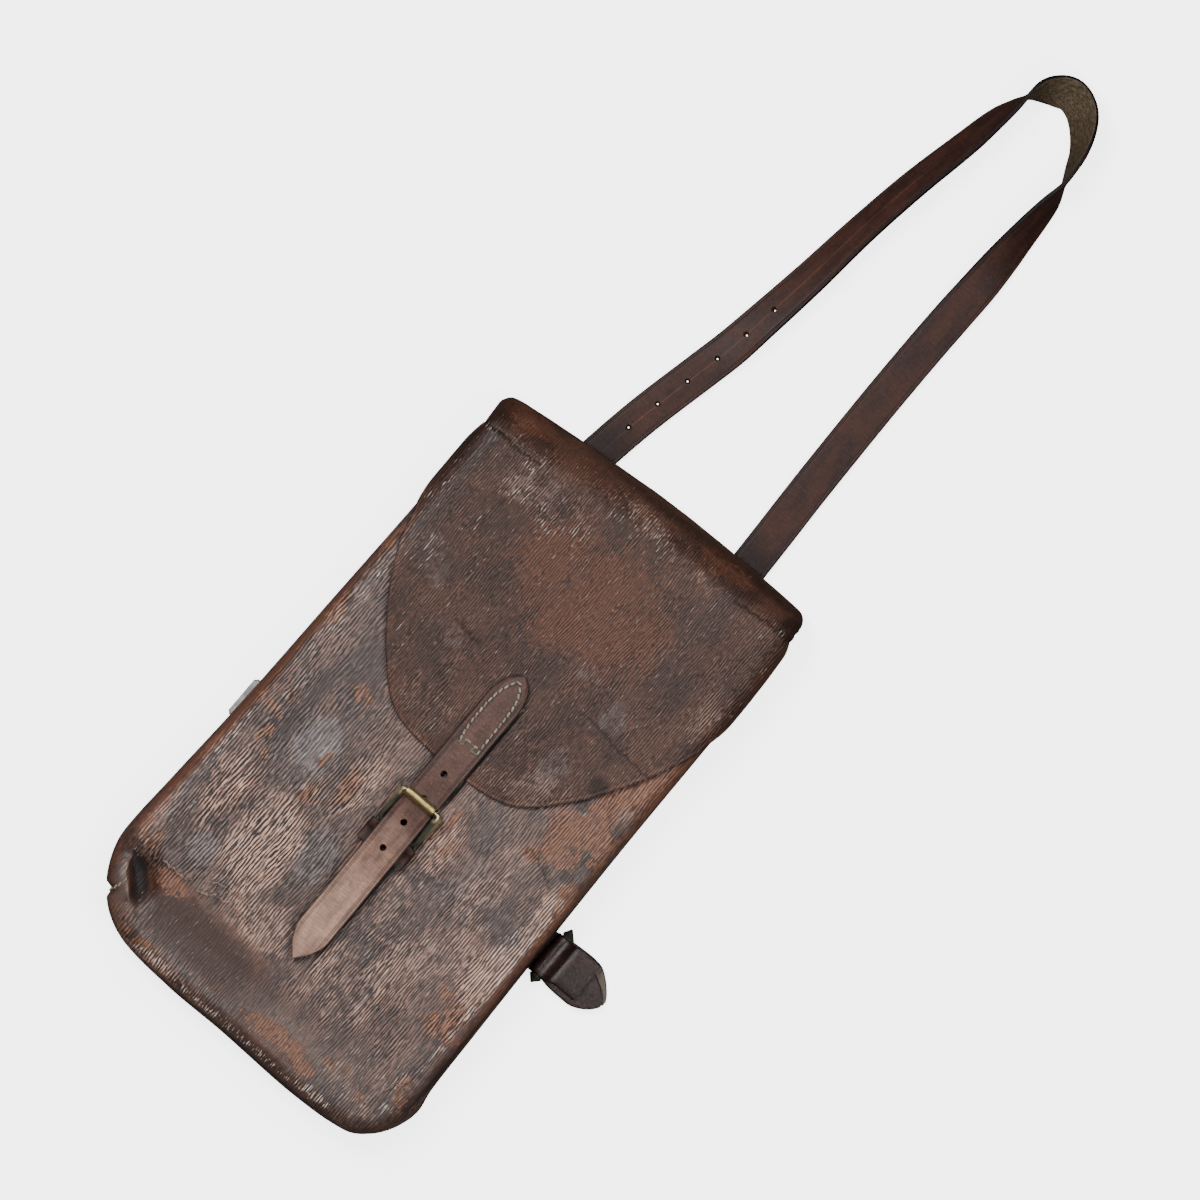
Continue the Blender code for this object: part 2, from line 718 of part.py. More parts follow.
def buckle_prong():
    """A round prong curled on the heel bar, lying under the strap, its tip up in a hole."""
    heel = Vector((BUCKLE_CENTRE, HEEL_PLACE, buckle_height(HEEL_PLACE)))
    curl = HEEL_RADIUS + FIT_GAP + PRONG_RADIUS + 0.0002
    path, radii = [], []
    for k in range(9):
        angle = math.radians(70 + 25 * k)
        path.append(heel + Vector((0, math.cos(angle), math.sin(angle))) * curl)
        radii.append(PRONG_RADIUS)
    shank = heel.z - curl
    shank_end = PRONG_TIP - 0.0040
    for share in (0.25, 0.6, 1.0):
        path.append(Vector((BUCKLE_CENTRE, HEEL_PLACE + (shank_end - HEEL_PLACE) * share, shank)))
        radii.append(PRONG_RADIUS)
    path.append(Vector((BUCKLE_CENTRE, PRONG_TIP - 0.0014, shank + 0.0008)))
    path.append(Vector((BUCKLE_CENTRE, PRONG_TIP - 0.0002, shank + 0.0026)))
    radii += [PRONG_RADIUS, PRONG_TIP_RADIUS]
    sweep("buckle_prong", tube_rings(path, radii, 8), "aged_brass")


def chape_half_width(y):
    """The chape is wide on the front of the case and narrow where it turns round the heel bar."""
    share = smooth_step(-0.0045, -0.0020, y)
    return CHAPE_HALF_WIDTH + (CHAPE_NECK - CHAPE_HALF_WIDTH) * share


def buckle_chape():
    """Leather folded round the heel bar, slotted for the prong."""
    heel_z = buckle_height(HEEL_PLACE)
    turn = HEEL_RADIUS + FIT_GAP + CHAPE_LEATHER / 2
    floor = front_height(BUCKLE_CENTRE + CHAPE_HALF_WIDTH, CHAPE_END) + FIT_GAP * 2 + CHAPE_LEATHER / 2
    upper = floor + CHAPE_LEATHER + FIT_GAP
    path = [(CHAPE_END, floor), (-0.0100, floor), (-0.0048, floor), (-0.0018, floor + 0.0001)]
    for k in range(9):
        angle = math.radians(-90 + 25 * k)
        path.append((HEEL_PLACE + turn * math.cos(angle), heel_z + turn * math.sin(angle)))
    path += [(-0.0022, heel_z + 0.0016), (-0.0050, upper + 0.0008), (-0.0080, upper), (CHAPE_END, upper)]
    points = [Vector((BUCKLE_CENTRE, y, z)) for y, z in path]
    rings = []
    for k, point in enumerate(points):
        run = (points[min(k + 1, len(points) - 1)] - points[max(k - 1, 0)]).normalized()
        face = Vector((1, 0, 0)).cross(run)
        half_width = Vector((chape_half_width(point.y), 0, 0))
        rings.append(flat_ring(point, half_width, face * CHAPE_LEATHER / 2))
    chape = sweep("buckle_chape", rings, "dark_leather")
    slot = bmesh.new()
    bmesh.ops.create_cube(slot, size=1.0)
    bmesh.ops.scale(slot, verts=slot.verts, vec=(0.0038, 0.0110, 0.0130))
    bmesh.ops.translate(slot, verts=slot.verts, vec=(BUCKLE_CENTRE, HEEL_PLACE, heel_z))
    add_cutter(chape, slot, "prong_slot")


def shoulder_section(fraction, rows):
    """Middle, half width and face direction of the shoulder strap at a fraction of its length."""
    length = rows[-1][0]
    step = 0.0008
    low = smooth_row(rows, max(fraction - step, 0.0) * length)
    high = smooth_row(rows, min(fraction + step, 1.0) * length)
    x, y, lean = smooth_row(rows, fraction * length)
    run = Vector((high[0] - low[0], high[1] - low[1], 0)).normalized()
    outward = Vector((-run.y, run.x, 0))
    angle = math.radians(lean)
    width = outward * math.cos(angle) + Vector((0, 0, math.sin(angle)))
    face = width.cross(run)
    half_w, half_t = SHOULDER_WIDTH / 2, SHOULDER_LEATHER / 2
    height = half_w * abs(width.z) + half_t * abs(face.z)
    return Vector((x, y, height)), width * half_w, face * half_t


def shoulder_strap():
    """The long strap: two legs and the loop that leans over at their end."""
    rows = by_length(SHOULDER_STATIONS)
    cells = 96
    rings = []
    for k in range(cells + 1):
        middle, half_width, half_thickness = shoulder_section(k / cells, rows)
        rings.append(flat_ring(middle, half_width, half_thickness))
    strap = sweep("shoulder_strap", rings, "shoulder_leather")
    first = next(row[0] for row in rows if row[2] >= FIRST_SHOULDER_HOLE)
    while smooth_row(rows, first)[1] > FIRST_SHOULDER_HOLE:
        first -= 0.0005
    points, directions = [], []
    for number in range(SHOULDER_HOLES):
        fraction = (first + number * HOLE_PITCH) / rows[-1][0]
        middle, _, half_thickness = shoulder_section(fraction, rows)
        points.append(middle)
        directions.append(half_thickness.normalized())
    cut(strap, points, directions, SHOULDER_HOLE_RADIUS, 0.012)


def flat_strap(name, sections, low, high, finish):
    """A flat strap that runs across, with an upper and a lower edge at each section."""
    rings = []
    for x, y_low, y_high in sections:
        rings.append([(x, y_low, low), (x, y_high, low), (x, y_high, high), (x, y_low, high)])
    sweep(name, rings, finish)


def side_tab():
    """Leather folded round the side bar: pointed lower layer, square upper end."""
    half = STRAP_LEATHER / 2
    lower = BACK_STRAP_LEATHER + FIT_GAP + half
    upper = lower + STRAP_LEATHER + FIT_GAP
    turn = SIDE_BAR_RADIUS + FIT_GAP + half
    bar_z = lower + turn
    path = [(x, lower, y_low, y_high) for x, y_low, y_high in SIDE_LOWER]
    for k in range(13):
        angle = math.radians(-90 - 21 * k)
        place = (SIDE_BAR_AT + turn * math.cos(angle), bar_z + turn * math.sin(angle))
        path.append((*place, *SIDE_ROLL_EDGES))
    first_x, first_low, first_high = SIDE_UPPER[0]
    path.append((SIDE_BAR_AT + turn + 0.0018, upper + 0.0012, *SIDE_ROLL_EDGES))
    path.append((first_x, upper, first_low, first_high))
    path += [(x, upper, y_low, y_high) for x, y_low, y_high in SIDE_UPPER[1:]]
    rings = []
    for k, (x, z, y_low, y_high) in enumerate(path):
        after, before = path[min(k + 1, len(path) - 1)], path[max(k - 1, 0)]
        run = Vector((after[0] - before[0], 0, after[1] - before[1])).normalized()
        face = Vector((0, 1, 0)).cross(run) * half
        middle = Vector((x, (y_low + y_high) / 2, z))
        rings.append(flat_ring(middle, Vector((0, (y_high - y_low) / 2, 0)), face))
    sweep("side_tab", rings, "dark_leather")
    return bar_z


def side_bar(bar_z):
    """A round bar with a four-sided point at each end."""
    sides = 12
    turns = [2 * math.pi * k / sides for k in range(sides)]
    low, high = SIDE_BAR_SPAN
    (low_x, low_y), (high_x, high_y) = SIDE_BAR_TIPS
    stations = (
        (low_x, low_y, 0.0004, True),
        (SIDE_BAR_AT, low - 0.0006, SIDE_BAR_BASE, True),
        (SIDE_BAR_AT, low, SIDE_BAR_RADIUS, False),
        (SIDE_BAR_AT, high, SIDE_BAR_RADIUS, False),
        (SIDE_BAR_AT, high + 0.0006, SIDE_BAR_BASE, True),
        (high_x, high_y, 0.0004, True),
    )
    rings = []
    for x, y, radius, square in stations:
        ring = []
        for a in turns:
            reach = radius
            if square:
                reach = radius / (abs(math.cos(a)) + abs(math.sin(a)))
            ring.append((x + reach * math.cos(a), y, bar_z + reach * math.sin(a)))
        rings.append(ring)
    sweep("side_bar", rings, "aged_brass")


def back_buckle():
    """A plain flat frame, hidden on the back, with the strap's end on one side of it."""
    x = SHOULDER_STATIONS[0][0]
    low, high = BACK_BUCKLE_TOP - BACK_BUCKLE_HEIGHT, BACK_BUCKLE_TOP
    half, wire = BACK_BUCKLE_HALF_WIDTH, BACK_BUCKLE_WIRE
    outer = ((x - half, low), (x + half, low), (x + half, high), (x - half, high))
    inner = (
        (x - half + wire, low + wire),
        (x + half - wire, low + wire),
        (x + half - wire, high - wire),
        (x - half + wire, high - wire),
    )
    rings = []
    for (out_x, out_y), (in_x, in_y) in zip(outer, inner):
        top = BACK_BUCKLE_THICKNESS
        rings.append([(out_x, out_y, 0), (in_x, in_y, 0), (in_x, in_y, top), (out_x, out_y, top)])
    sweep("back_buckle", rings, "plain_steel", closed=True)


def back_buckle_chape():
    """The plain leather that holds the hidden buckle on the back."""
    x = SHOULDER_STATIONS[0][0]
    high = BACK_BUCKLE_TOP - BACK_BUCKLE_HEIGHT - FIT_GAP
    half = SHOULDER_WIDTH / 2
    sections = ((x - half, BACK_CHAPE_END, high), (x + half, BACK_CHAPE_END, high))
    flat_strap("back_buckle_chape", sections, 0.0, SHOULDER_LEATHER, "dark_leather")


def build():
    for old in list(bpy.data.objects):
        bpy.data.objects.remove(old)
    front_shell()
    back_and_flap()
    closure_strap()
    buckle_frame()
    buckle_roller()
    buckle_prong()
    buckle_chape()
    shoulder_strap()
    flat_strap("back_strap", BACK_STRAP_SECTIONS, 0.0, BACK_STRAP_LEATHER, "dark_leather")
    side_bar(side_tab())
    back_buckle()
    back_buckle_chape()


build()
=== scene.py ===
# %% [markdown]
# # A leather dispatch case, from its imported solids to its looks
# The solids are the frame: they hold the case's sizes and carry its collision. Everything
# made here sits where they are, in metres, with +Z up and +Y towards the flap's fold.
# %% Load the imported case
import math

import bmesh
import bpy
import numpy as np
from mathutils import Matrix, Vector, kdtree, noise


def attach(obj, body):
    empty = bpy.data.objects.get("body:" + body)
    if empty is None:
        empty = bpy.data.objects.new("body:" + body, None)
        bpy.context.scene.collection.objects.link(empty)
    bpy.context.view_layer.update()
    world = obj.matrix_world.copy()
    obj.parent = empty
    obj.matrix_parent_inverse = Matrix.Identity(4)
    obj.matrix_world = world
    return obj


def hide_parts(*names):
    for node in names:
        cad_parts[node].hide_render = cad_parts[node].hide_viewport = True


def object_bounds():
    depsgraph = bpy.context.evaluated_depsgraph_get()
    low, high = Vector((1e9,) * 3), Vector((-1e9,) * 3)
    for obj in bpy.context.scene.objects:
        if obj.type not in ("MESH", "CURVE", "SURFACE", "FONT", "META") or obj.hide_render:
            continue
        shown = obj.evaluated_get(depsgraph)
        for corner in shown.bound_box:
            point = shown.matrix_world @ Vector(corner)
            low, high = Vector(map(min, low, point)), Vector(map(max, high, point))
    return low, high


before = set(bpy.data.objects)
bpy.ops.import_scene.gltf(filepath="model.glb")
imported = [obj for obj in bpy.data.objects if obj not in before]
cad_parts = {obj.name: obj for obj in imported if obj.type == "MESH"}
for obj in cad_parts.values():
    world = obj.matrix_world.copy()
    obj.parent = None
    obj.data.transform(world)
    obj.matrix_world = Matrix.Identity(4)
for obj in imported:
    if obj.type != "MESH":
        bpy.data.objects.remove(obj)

cad_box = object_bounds()
scene = bpy.context.scene
MM = 0.001
print("solids:", len(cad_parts), "box:", [tuple(round(c, 4) for c in corner) for corner in cad_box])

# %% [markdown]
# ## Camera
# The photograph looks straight down from far off, so its edges hardly converge. A long lens
# five metres up does the same, turned so that the case leans as it does there.
# %% Camera
VIEW_CENTRE = (0.0063, 0.1798)
VIEW_WIDTH = 0.696
VIEW_DISTANCE = 5.0
VIEW_TURN = 40.4

camera_data = bpy.data.cameras.new("camera")
camera_data.sensor_width = 36.0
camera_data.lens = camera_data.sensor_width * VIEW_DISTANCE / VIEW_WIDTH
camera_data.clip_end = 20.0
camera = bpy.data.objects.new("camera", camera_data)
camera.location = (*VIEW_CENTRE, VIEW_DISTANCE)
camera.rotation_euler = (0.0, 0.0, math.radians(VIEW_TURN))
scene.collection.objects.link(camera)
scene.camera = camera
print("lens:", round(camera_data.lens, 1), "mm")

# %% [markdown]
# ## Light
# Old leather shows its wrinkles by their glints, so the light comes slanting from both sides and
# from behind the flap, through large soft panels. A weak pale sky fills the rest.
# %% Lights and sky
LIGHTS = (
    ("left_panel", (-0.95, 0.35, 1.65), (0.6, 1.0), 42.0),
    ("right_panel", (1.00, 0.00, 1.60), (0.5, 1.0), 22.0),
    ("top_panel", (0.10, 1.30, 1.70), (1.0, 0.5), 11.0),
)
LIGHT_AIM = Vector((0.0, 0.10, 0.02))
SKY_STRENGTH = 0.07

for name, place, size, power in LIGHTS:
    panel_data = bpy.data.lights.new(name, "AREA")
    panel_data.shape = "RECTANGLE"
    panel_data.size, panel_data.size_y = size
    panel_data.energy = power
    panel = bpy.data.objects.new(name, panel_data)
    panel.location = place
    panel.rotation_euler = (LIGHT_AIM - Vector(place)).to_track_quat("-Z", "Y").to_euler()
    scene.collection.objects.link(panel)
scene.world = bpy.data.worlds.new("sky")
scene.world.use_nodes = True
sky = scene.world.node_tree.nodes["Background"]
sky.inputs["Color"].default_value = (1.0, 1.0, 1.0, 1.0)
sky.inputs["Strength"].default_value = SKY_STRENGTH
print("lights:", [name for name, *_ in LIGHTS])

# %% [markdown]
# ## Tables and smooth curves
# A worn leather case has no straight line in it. Its edges are short tables, a row for each
# place, with a smooth curve through the rows. A Bezier curve object could hold them too, but a
# table can be read at any height, which the flap and the straps need.
# %% Smooth curves through tables
def smooth_row(table, where):
    """The later columns of a table at a place in its first column, on a smooth curve."""
    rows = sorted(table)
    where = min(max(where, rows[0][0]), rows[-1][0])
    index = 0
    while index < len(rows) - 2 and where > rows[index + 1][0]:
        index += 1
    start, end = rows[index], rows[index + 1]
    before = rows[max(index - 1, 0)]
    after = rows[min(index + 2, len(rows) - 1)]
    span = end[0] - start[0]
    t = (where - start[0]) / span
    values = []
    for column in range(1, len(start)):
        start_slope = (end[column] - before[column]) / (end[0] - before[0])
        end_slope = (after[column] - start[column]) / (after[0] - start[0])
        value = (2 * t ** 3 - 3 * t ** 2 + 1) * start[column]
        value += (t ** 3 - 2 * t ** 2 + t) * span * start_slope
        value += (3 * t ** 2 - 2 * t ** 3) * end[column]
        value += (t ** 3 - t ** 2) * span * end_slope
        values.append(value)
    return values


def by_length(points):
    """The points with their distance along the line put first."""
    rows = [(0.0, *points[0])]
    for before, point in zip(points, points[1:]):
        rows.append((rows[-1][0] + math.dist(before[:2], point[:2]), *point))
    return rows


def along(points, fractions):
    """Places on the smooth curve through the points, at fractions of its length."""
    rows = by_length(points)
    return [smooth_row(rows, fraction * rows[-1][0]) for fraction in fractions]


def smooth_step(low, high, value):
    """0 below low, 1 above high and a smooth rise between them."""
    t = min(max((value - low) / (high - low), 0.0), 1.0)
    return t * t * (3 - 2 * t)


def evenly(count, low=0.0, high=1.0):
    """count + 1 numbers from low to high with the same step."""
    return [low + (high - low) * k / count for k in range(count + 1)]


# %% [markdown]
# ## The case's form
# The outline and the heights are the solids' own, and the hollow and the dart are shaped more
# closely here. The front is a shallow tray: its face sags in the middle, turns down round its
# edge, and is pushed in beside the lower left corner, where the leather has also been pinched
# and sewn in a small dart. Sculpting would give the same dents, but not from named sizes.
# %% Sizes of the case
FRONT_LEATHER = 0.0025
BACK_LEATHER = 0.0025
FIT_GAP = 0.0003
FLAP_GAP = 0.0010
SHOULDER_LEATHER = 0.0030
BACK_INSIDE = SHOULDER_LEATHER + FIT_GAP + BACK_LEATHER
SHELL_FOOT = BACK_INSIDE + FIT_GAP
FRONT_TOP = 0.0335
WALL_MIDDLE = 0.0145
EDGE_RADIUS = 0.011
FACE_SAG = 0.0042
SAG_HALF_WIDTH = 0.096
RIM_START = -0.1440
RIM_END = -0.1180
MOUTH_LEFT = 0.2130
MOUTH_RIGHT = 0.2300
CASE_SECTIONS = (
    (0.2400, -0.1090, 0.1040),
    (0.2000, -0.1098, 0.1068),
    (0.1500, -0.1100, 0.1078),
    (0.0800, -0.1112, 0.1088),
    (0.0000, -0.1125, 0.1112),
    (-0.0600, -0.1150, 0.1133),
    (-0.1000, -0.1162, 0.1140),
    (-0.1150, -0.1128, 0.1134),
    (-0.1300, -0.1045, 0.1108),
    (-0.1420, -0.0915, 0.1040),
    (-0.1490, -0.0735, 0.0925),
)
CASE_BASE = ((-0.0400, -0.1517), (0.0000, -0.1515), (0.0600, -0.1524))
BACK_LIP = 0.0012
CORNER_REACH = 0.0037
CORNER_AT = -0.1180
CORNER_SPREAD = 0.0150
HOLLOW_AT = (-0.0945, -0.1135)
HOLLOW_RUN = (0.72, -0.69)
HOLLOW_DEPTH = 0.0100
HOLLOW_HALF_LENGTH = 0.0150
HOLLOW_STEEP = 0.0046
HOLLOW_SHALLOW = 0.0105
DART_AT = (-0.1032, -0.1322)
DART_INWARD = (0.75, 0.66)
DART_DEPTH = 0.0039
DART_HALF_WIDTH = 0.0048
print("front:", round(FRONT_TOP / MM, 1), "mm high, its face sags", round(FACE_SAG / MM, 1), "mm")


# %% Outline, sheets and the front's plain form
def case_outline(top_left, top_right, lip, corner_reach):
    """The case's edge seen from above, down its left side, along its base and up its right."""
    left_side = [(smooth_row(CASE_SECTIONS, top_left)[0] - lip, top_left)]
    right_side = [(smooth_row(CASE_SECTIONS, top_right)[1] + lip, top_right)]
    for y, left, right in CASE_SECTIONS:
        bulge = corner_reach * math.exp(-((y - CORNER_AT) / CORNER_SPREAD) ** 2)
        if y < top_left - 0.004:
            left_side.append((left - lip, y))
        if y < top_right - 0.004:
            right_side.append((right + lip + bulge, y))
    base = [(x, y - lip) for x, y in CASE_BASE]
    return left_side + base + right_side[::-1]


def edge_fractions(outline, side_shares, base_shares):
    """Fractions along an open U for the cells of a sheet, its corners at the farthest points."""
    places = along(outline, evenly(400))
    left_corner = max(range(401), key=lambda k: -places[k][0] - places[k][1]) / 400
    right_corner = max(range(401), key=lambda k: places[k][0] - places[k][1]) / 400
    left = [left_corner * share for share in side_shares[:-1]]
    base = [left_corner + (right_corner - left_corner) * share for share in base_shares[:-1]]
    right = [1 - (1 - right_corner) * share for share in side_shares[::-1]]
    return left + base + right


def inward_normals(outline, fractions):
    """Directions from the edge of an open U towards its inside."""
    step = 0.0015
    rows = by_length(outline)
    length = rows[-1][0]
    normals = []
    for fraction in fractions:
        start = smooth_row(rows, max(fraction - step, 0.0) * length)
        end = smooth_row(rows, min(fraction + step, 1.0) * length)
        run = Vector((end[0] - start[0], end[1] - start[1])).normalized()
        normals.append(Vector((-run.y, run.x)))
    return normals


def fill_inside(border, side_cells, shares):
    """A grid of flat points inside an open U, base row first, blended from its four edges."""
    base_cells = len(shares) - 1
    left = border[:side_cells + 1][::-1]
    base = border[side_cells:side_cells + base_cells + 1]
    right = border[side_cells + base_cells:]
    top = [left[-1].lerp(right[-1], share) for share in shares]
    grid = []
    for j in range(side_cells + 1):
        v = j / side_cells
        row = []
        for i, u in enumerate(shares):
            sides = left[j] * (1 - u) + right[j] * u
            ends = base[i] * (1 - v) + top[i] * v
            low_corners = base[0] * (1 - u) + base[-1] * u
            high_corners = top[0] * (1 - u) + top[-1] * u
            row.append(sides + ends - low_corners * (1 - v) - high_corners * v)
        grid.append(row)
    return grid


# %% Height of the front and its dents
def hollow(x, y):
    """Depth of the hollow beside the lower left corner."""
    off_x, off_y = x - HOLLOW_AT[0], y - HOLLOW_AT[1]
    lengthwise = off_x * HOLLOW_RUN[0] + off_y * HOLLOW_RUN[1]
    across = -off_x * HOLLOW_RUN[1] + off_y * HOLLOW_RUN[0]
    spread = HOLLOW_STEEP if across < 0 else HOLLOW_SHALLOW
    fall = (lengthwise / HOLLOW_HALF_LENGTH) ** 2 + (across / spread) ** 2
    return HOLLOW_DEPTH * math.exp(-fall ** 1.4)


def front_height(x, y):
    """Height of the front's face inside its rounded edge."""
    across = max(0.0, 1 - (x / SAG_HALF_WIDTH) ** 2)
    sag = FACE_SAG * across ** 1.5 * smooth_step(RIM_START, RIM_END, y)
    return FRONT_TOP - sag - hollow(x, y)


def dart(x, y):
    """How far the edge is pinched in at the dart."""
    reach = math.dist((x, y), DART_AT)
    pinch = DART_DEPTH * max(0.0, 1 - reach / DART_HALF_WIDTH)
    return Vector((DART_INWARD[0] * pinch, DART_INWARD[1] * pinch, 0.0))


def border_of(grid):
    """The left, base and right edges of a grid, in the order of its open U."""
    left = [row[0] for row in grid[::-1]]
    right = [row[-1] for row in grid[1:]]
    return left + grid[0][1:] + right


# %% [markdown]
# ## Relief of the leather
# Two things stand out on the leather's face. Long wrinkles run up the case where it has flexed,
# and single creases cross it. Noise stretched up the case would be the quick way to the
# wrinkles, but it gives blots. Here they are two sets of waves across the case, whose counts
# wander with slow noise, so that ridges bend and merge as real ones do. On the front they are
# low ridges in the mesh. The flap's are closer together than the cells of its mesh, so there the
# material draws them from the same counts. Patches and creases are tables in millimetres,
# because that is how they were read off the case with a ruler.
# %% Wrinkles, creases and patches
# Patches: middle across, middle up, half width, half height, turn in degrees, strength
WRINKLED = (
    (-62, -35, 55, 80, 0, 1.0),
    (-98, 20, 16, 110, 0, 0.9),
    (55, -60, 55, 90, 0, 0.70),
    (-10, -120, 90, 26, 0, 0.5),
    (0, 170, 110, 60, 0, 0.45),
    (0, 80, 60, 40, 0, 0.6),
    (95, 190, 18, 50, 0, 0.8),
    (-60, 205, 40, 20, 0, 0.7),
)
# Creases: half width, rise, then points across and up. The first is the hollow's rounded edge.
CREASES = (
    (1.6, 0.90, ((-105, -111.4), (-97.3, -115), (-94.4, -120), (-91.6, -123.6), (-89.4, -127))),
    (1.5, 0.55, ((-62, -99), (-52, -94), (-44, -91.5), (-34, -92), (-22, -95))),
    (1.3, 0.45, ((-60, -90), (-50, -86), (-40, -84), (-32, -87))),
    (1.4, 0.50, ((-88, -97), (-80, -97.5), (-72, -98), (-69, -96))),
    (1.1, 0.45, ((104, -104), (97, -110), (95, -117), (91, -128))),
    (0.9, -0.40, ((69, 44), (79, 41), (92, 34))),
)
FLAP_CREASES = (
    (1.0, -0.55, ((-114, 215), (-106, 215), (-99, 216), (-88, 215), (-70, 216.5))),
    (1.0, -0.50, ((66, 229.5), (82, 231.5), (96, 232.5), (108, 234))),
    (0.9, 0.35, ((-95, 218.5), (-82, 219), (-66, 221))),
    (0.9, -0.25, ((45, 124), (70, 120.5), (95, 120))),
    (0.9, -0.25, ((-45, 117), (-38, 115.5), (-32, 115.5))),
)
# Places where the leather is stretched smooth, as patches again
CALM = (
    (-114, 40, 6.5, 280, 0, 1.0),
    (114, 40, 8.0, 280, 0, 1.0),
    (-100, -122, 13, 20, 20, 1.0),
    (-45, -114, 48, 17, 0, 0.8),
    (0, -152, 120, 6, 0, 0.7),
    (22, -130, 40, 18, 0, 0.7),
    (70, -120, 30, 16, 0, 0.4),
)
# Ridges: distance between two at the left and at the right of the piece, height in the mesh
FRONT_RIDGES = (1.85, 1.55, 0.13)
FLAP_RIDGES = (1.48, 1.42, 0.0)
# Where across the case the distance changes, and over what width
PITCH_CHANGE = (-25.0, 14.0)
# The second set of ridges: how much wider apart, and its share of the height
SECOND_PITCH = 1.27
SECOND_SHARE = 0.38
# Slow noise: strength, size across, size up, seed
FIRST_BENDS = ((1.5, 24, 52, 3), (0.8, 8, 17, 5))
SECOND_BENDS = ((1.8, 17, 36, 21), (0.7, 6, 14, 8))
SWELL = ((0.40, 19, 38, 11),)
SWELL_WHERE_CALM = 0.4


# %% Reading patches and creases
def patch_strength(table, x, y):
    """How much a point in millimetres lies in the table's patches, from 0 to 1. Arrays work too."""
    total = np.zeros_like(np.asarray(x, float))
    for middle_x, middle_y, half_x, half_y, turn, strength in table:
        cosine, sine = math.cos(math.radians(turn)), math.sin(math.radians(turn))
        across = ((x - middle_x) * cosine + (y - middle_y) * sine) / half_x
        lengthwise = ((y - middle_y) * cosine - (x - middle_x) * sine) / half_y
        fall = np.clip((1.7 - np.hypot(across, lengthwise) ** 2) / 1.4, 0.0, 1.0)
        total = np.maximum(total, strength * fall)
    return total


def crease_rise(table, x, y):
    """Rise of all the creases of a table at a point, in millimetres."""
    rise = 0.0
    for half_width, height, points in table:
        if not min(p[0] for p in points) - 5 < x < max(p[0] for p in points) + 5:
            continue
        nearest = min(distance_to(x, y, *pair) for pair in zip(points, points[1:]))
        rise += height * math.exp(-(nearest / half_width) ** 2)
    return rise


def distance_to(x, y, start, end):
    """Distance from a point to the straight line between two others."""
    run_x, run_y = end[0] - start[0], end[1] - start[1]
    t = ((x - start[0]) * run_x + (y - start[1]) * run_y) / (run_x ** 2 + run_y ** 2)
    t = min(max(t, 0.0), 1.0)
    return math.hypot(x - start[0] - t * run_x, y - start[1] - t * run_y)


# %% Ridges and relief
def slow_noise(table, x, y):
    """The sum of a table's layers of noise at a point in millimetres."""
    total = 0.0
    for strength, wide, tall, seed in table:
        total += strength * noise.noise(Vector((x / wide, y / tall, seed)))
    return total


def ridge_turns(x, y, ridges):
    """Two counts of the ridges across the case at a point in millimetres, one for each set."""
    middle, spread = PITCH_CHANGE
    left, right = 1 / ridges[0], 1 / ridges[1]
    count = left * x + (right - left) * spread * math.log1p(math.exp((x - middle) / spread))
    second = count / SECOND_PITCH + slow_noise(SECOND_BENDS, x, y)
    return count + slow_noise(FIRST_BENDS, x, y), second


def relief(x, y, creases, ridges):
    """Rise of the leather's face over its plain form, in metres."""
    x, y = x / MM, y / MM
    loose = 1 - float(patch_strength(CALM, x, y))
    first, second = ridge_turns(x, y, ridges)
    waves = (1 - SECOND_SHARE) * math.sin(math.tau * first) + SECOND_SHARE * math.sin(math.tau * second)
    waves *= ridges[2] * loose * float(patch_strength(WRINKLED, x, y))
    swell = slow_noise(SWELL, x, y) * (SWELL_WHERE_CALM + (1 - SWELL_WHERE_CALM) * loose)
    return (waves + swell + crease_rise(creases, x, y)) * MM


# %% [markdown]
# ## Making pieces
# A piece starts as rows of points that become a grid of faces, or as rings that become a
# closed strap or wire. Solidify gives a sheet its wall, and Bevel rounds its cut edges. The
# result is turned into a plain mesh.
# %% Helpers for pieces
def add_piece(name, mesh):
    """A named object made from a bmesh, smooth except at hard edges."""
    data = bpy.data.meshes.new(name)
    mesh.to_mesh(data)
    mesh.free()
    data.shade_smooth()
    piece = bpy.data.objects.new(name, data)
    scene.collection.objects.link(piece)
    return piece


def settle(piece, sharp_angle=42.0):
    """Turns a piece with modifiers into a plain mesh and prints its size."""
    shown = piece.evaluated_get(bpy.context.evaluated_depsgraph_get())
    data = bpy.data.meshes.new_from_object(shown)
    piece.modifiers.clear()
    piece.data = data
    data.shade_smooth()
    data.set_sharp_from_angle(angle=math.radians(sharp_angle))
    triangles = sum(len(face.vertices) - 2 for face in data.polygons)
    print(f"{piece.name}: {triangles} triangles")
    return piece


def thicken(piece, thickness, side, edge_round):
    """Gives a sheet its wall and rounds its cut edges. All but its face takes the second material."""
    wall = piece.modifiers.new("wall", "SOLIDIFY")
    wall.thickness = thickness
    wall.offset = side
    wall.material_offset = 1
    wall.material_offset_rim = 1
    ease = piece.modifiers.new("ease", "BEVEL")
    ease.width = edge_round
    ease.segments = 2
    ease.limit_method = "ANGLE"
    ease.angle_limit = math.radians(62)


def add_values(piece, name, values):
    """Keeps a number for each point of a piece, for its material to read."""
    attribute = piece.data.attributes.new(name, "FLOAT", "POINT")
    attribute.data.foreach_set("value", np.asarray(values, np.float32))


def points_of(piece):
    """The piece's points as an array, in millimetres."""
    flat = np.zeros(len(piece.data.vertices) * 3, np.float32)
    piece.data.vertices.foreach_get("co", flat)
    return flat.reshape(-1, 3).astype(float) / MM


def grid_faces(mesh, grid):
    """Faces between the rows of a grid of points."""
    for lower, upper in zip(grid, grid[1:]):
        for i in range(len(lower) - 1):
            mesh.faces.new((lower[i], lower[i + 1], upper[i + 1], upper[i]))


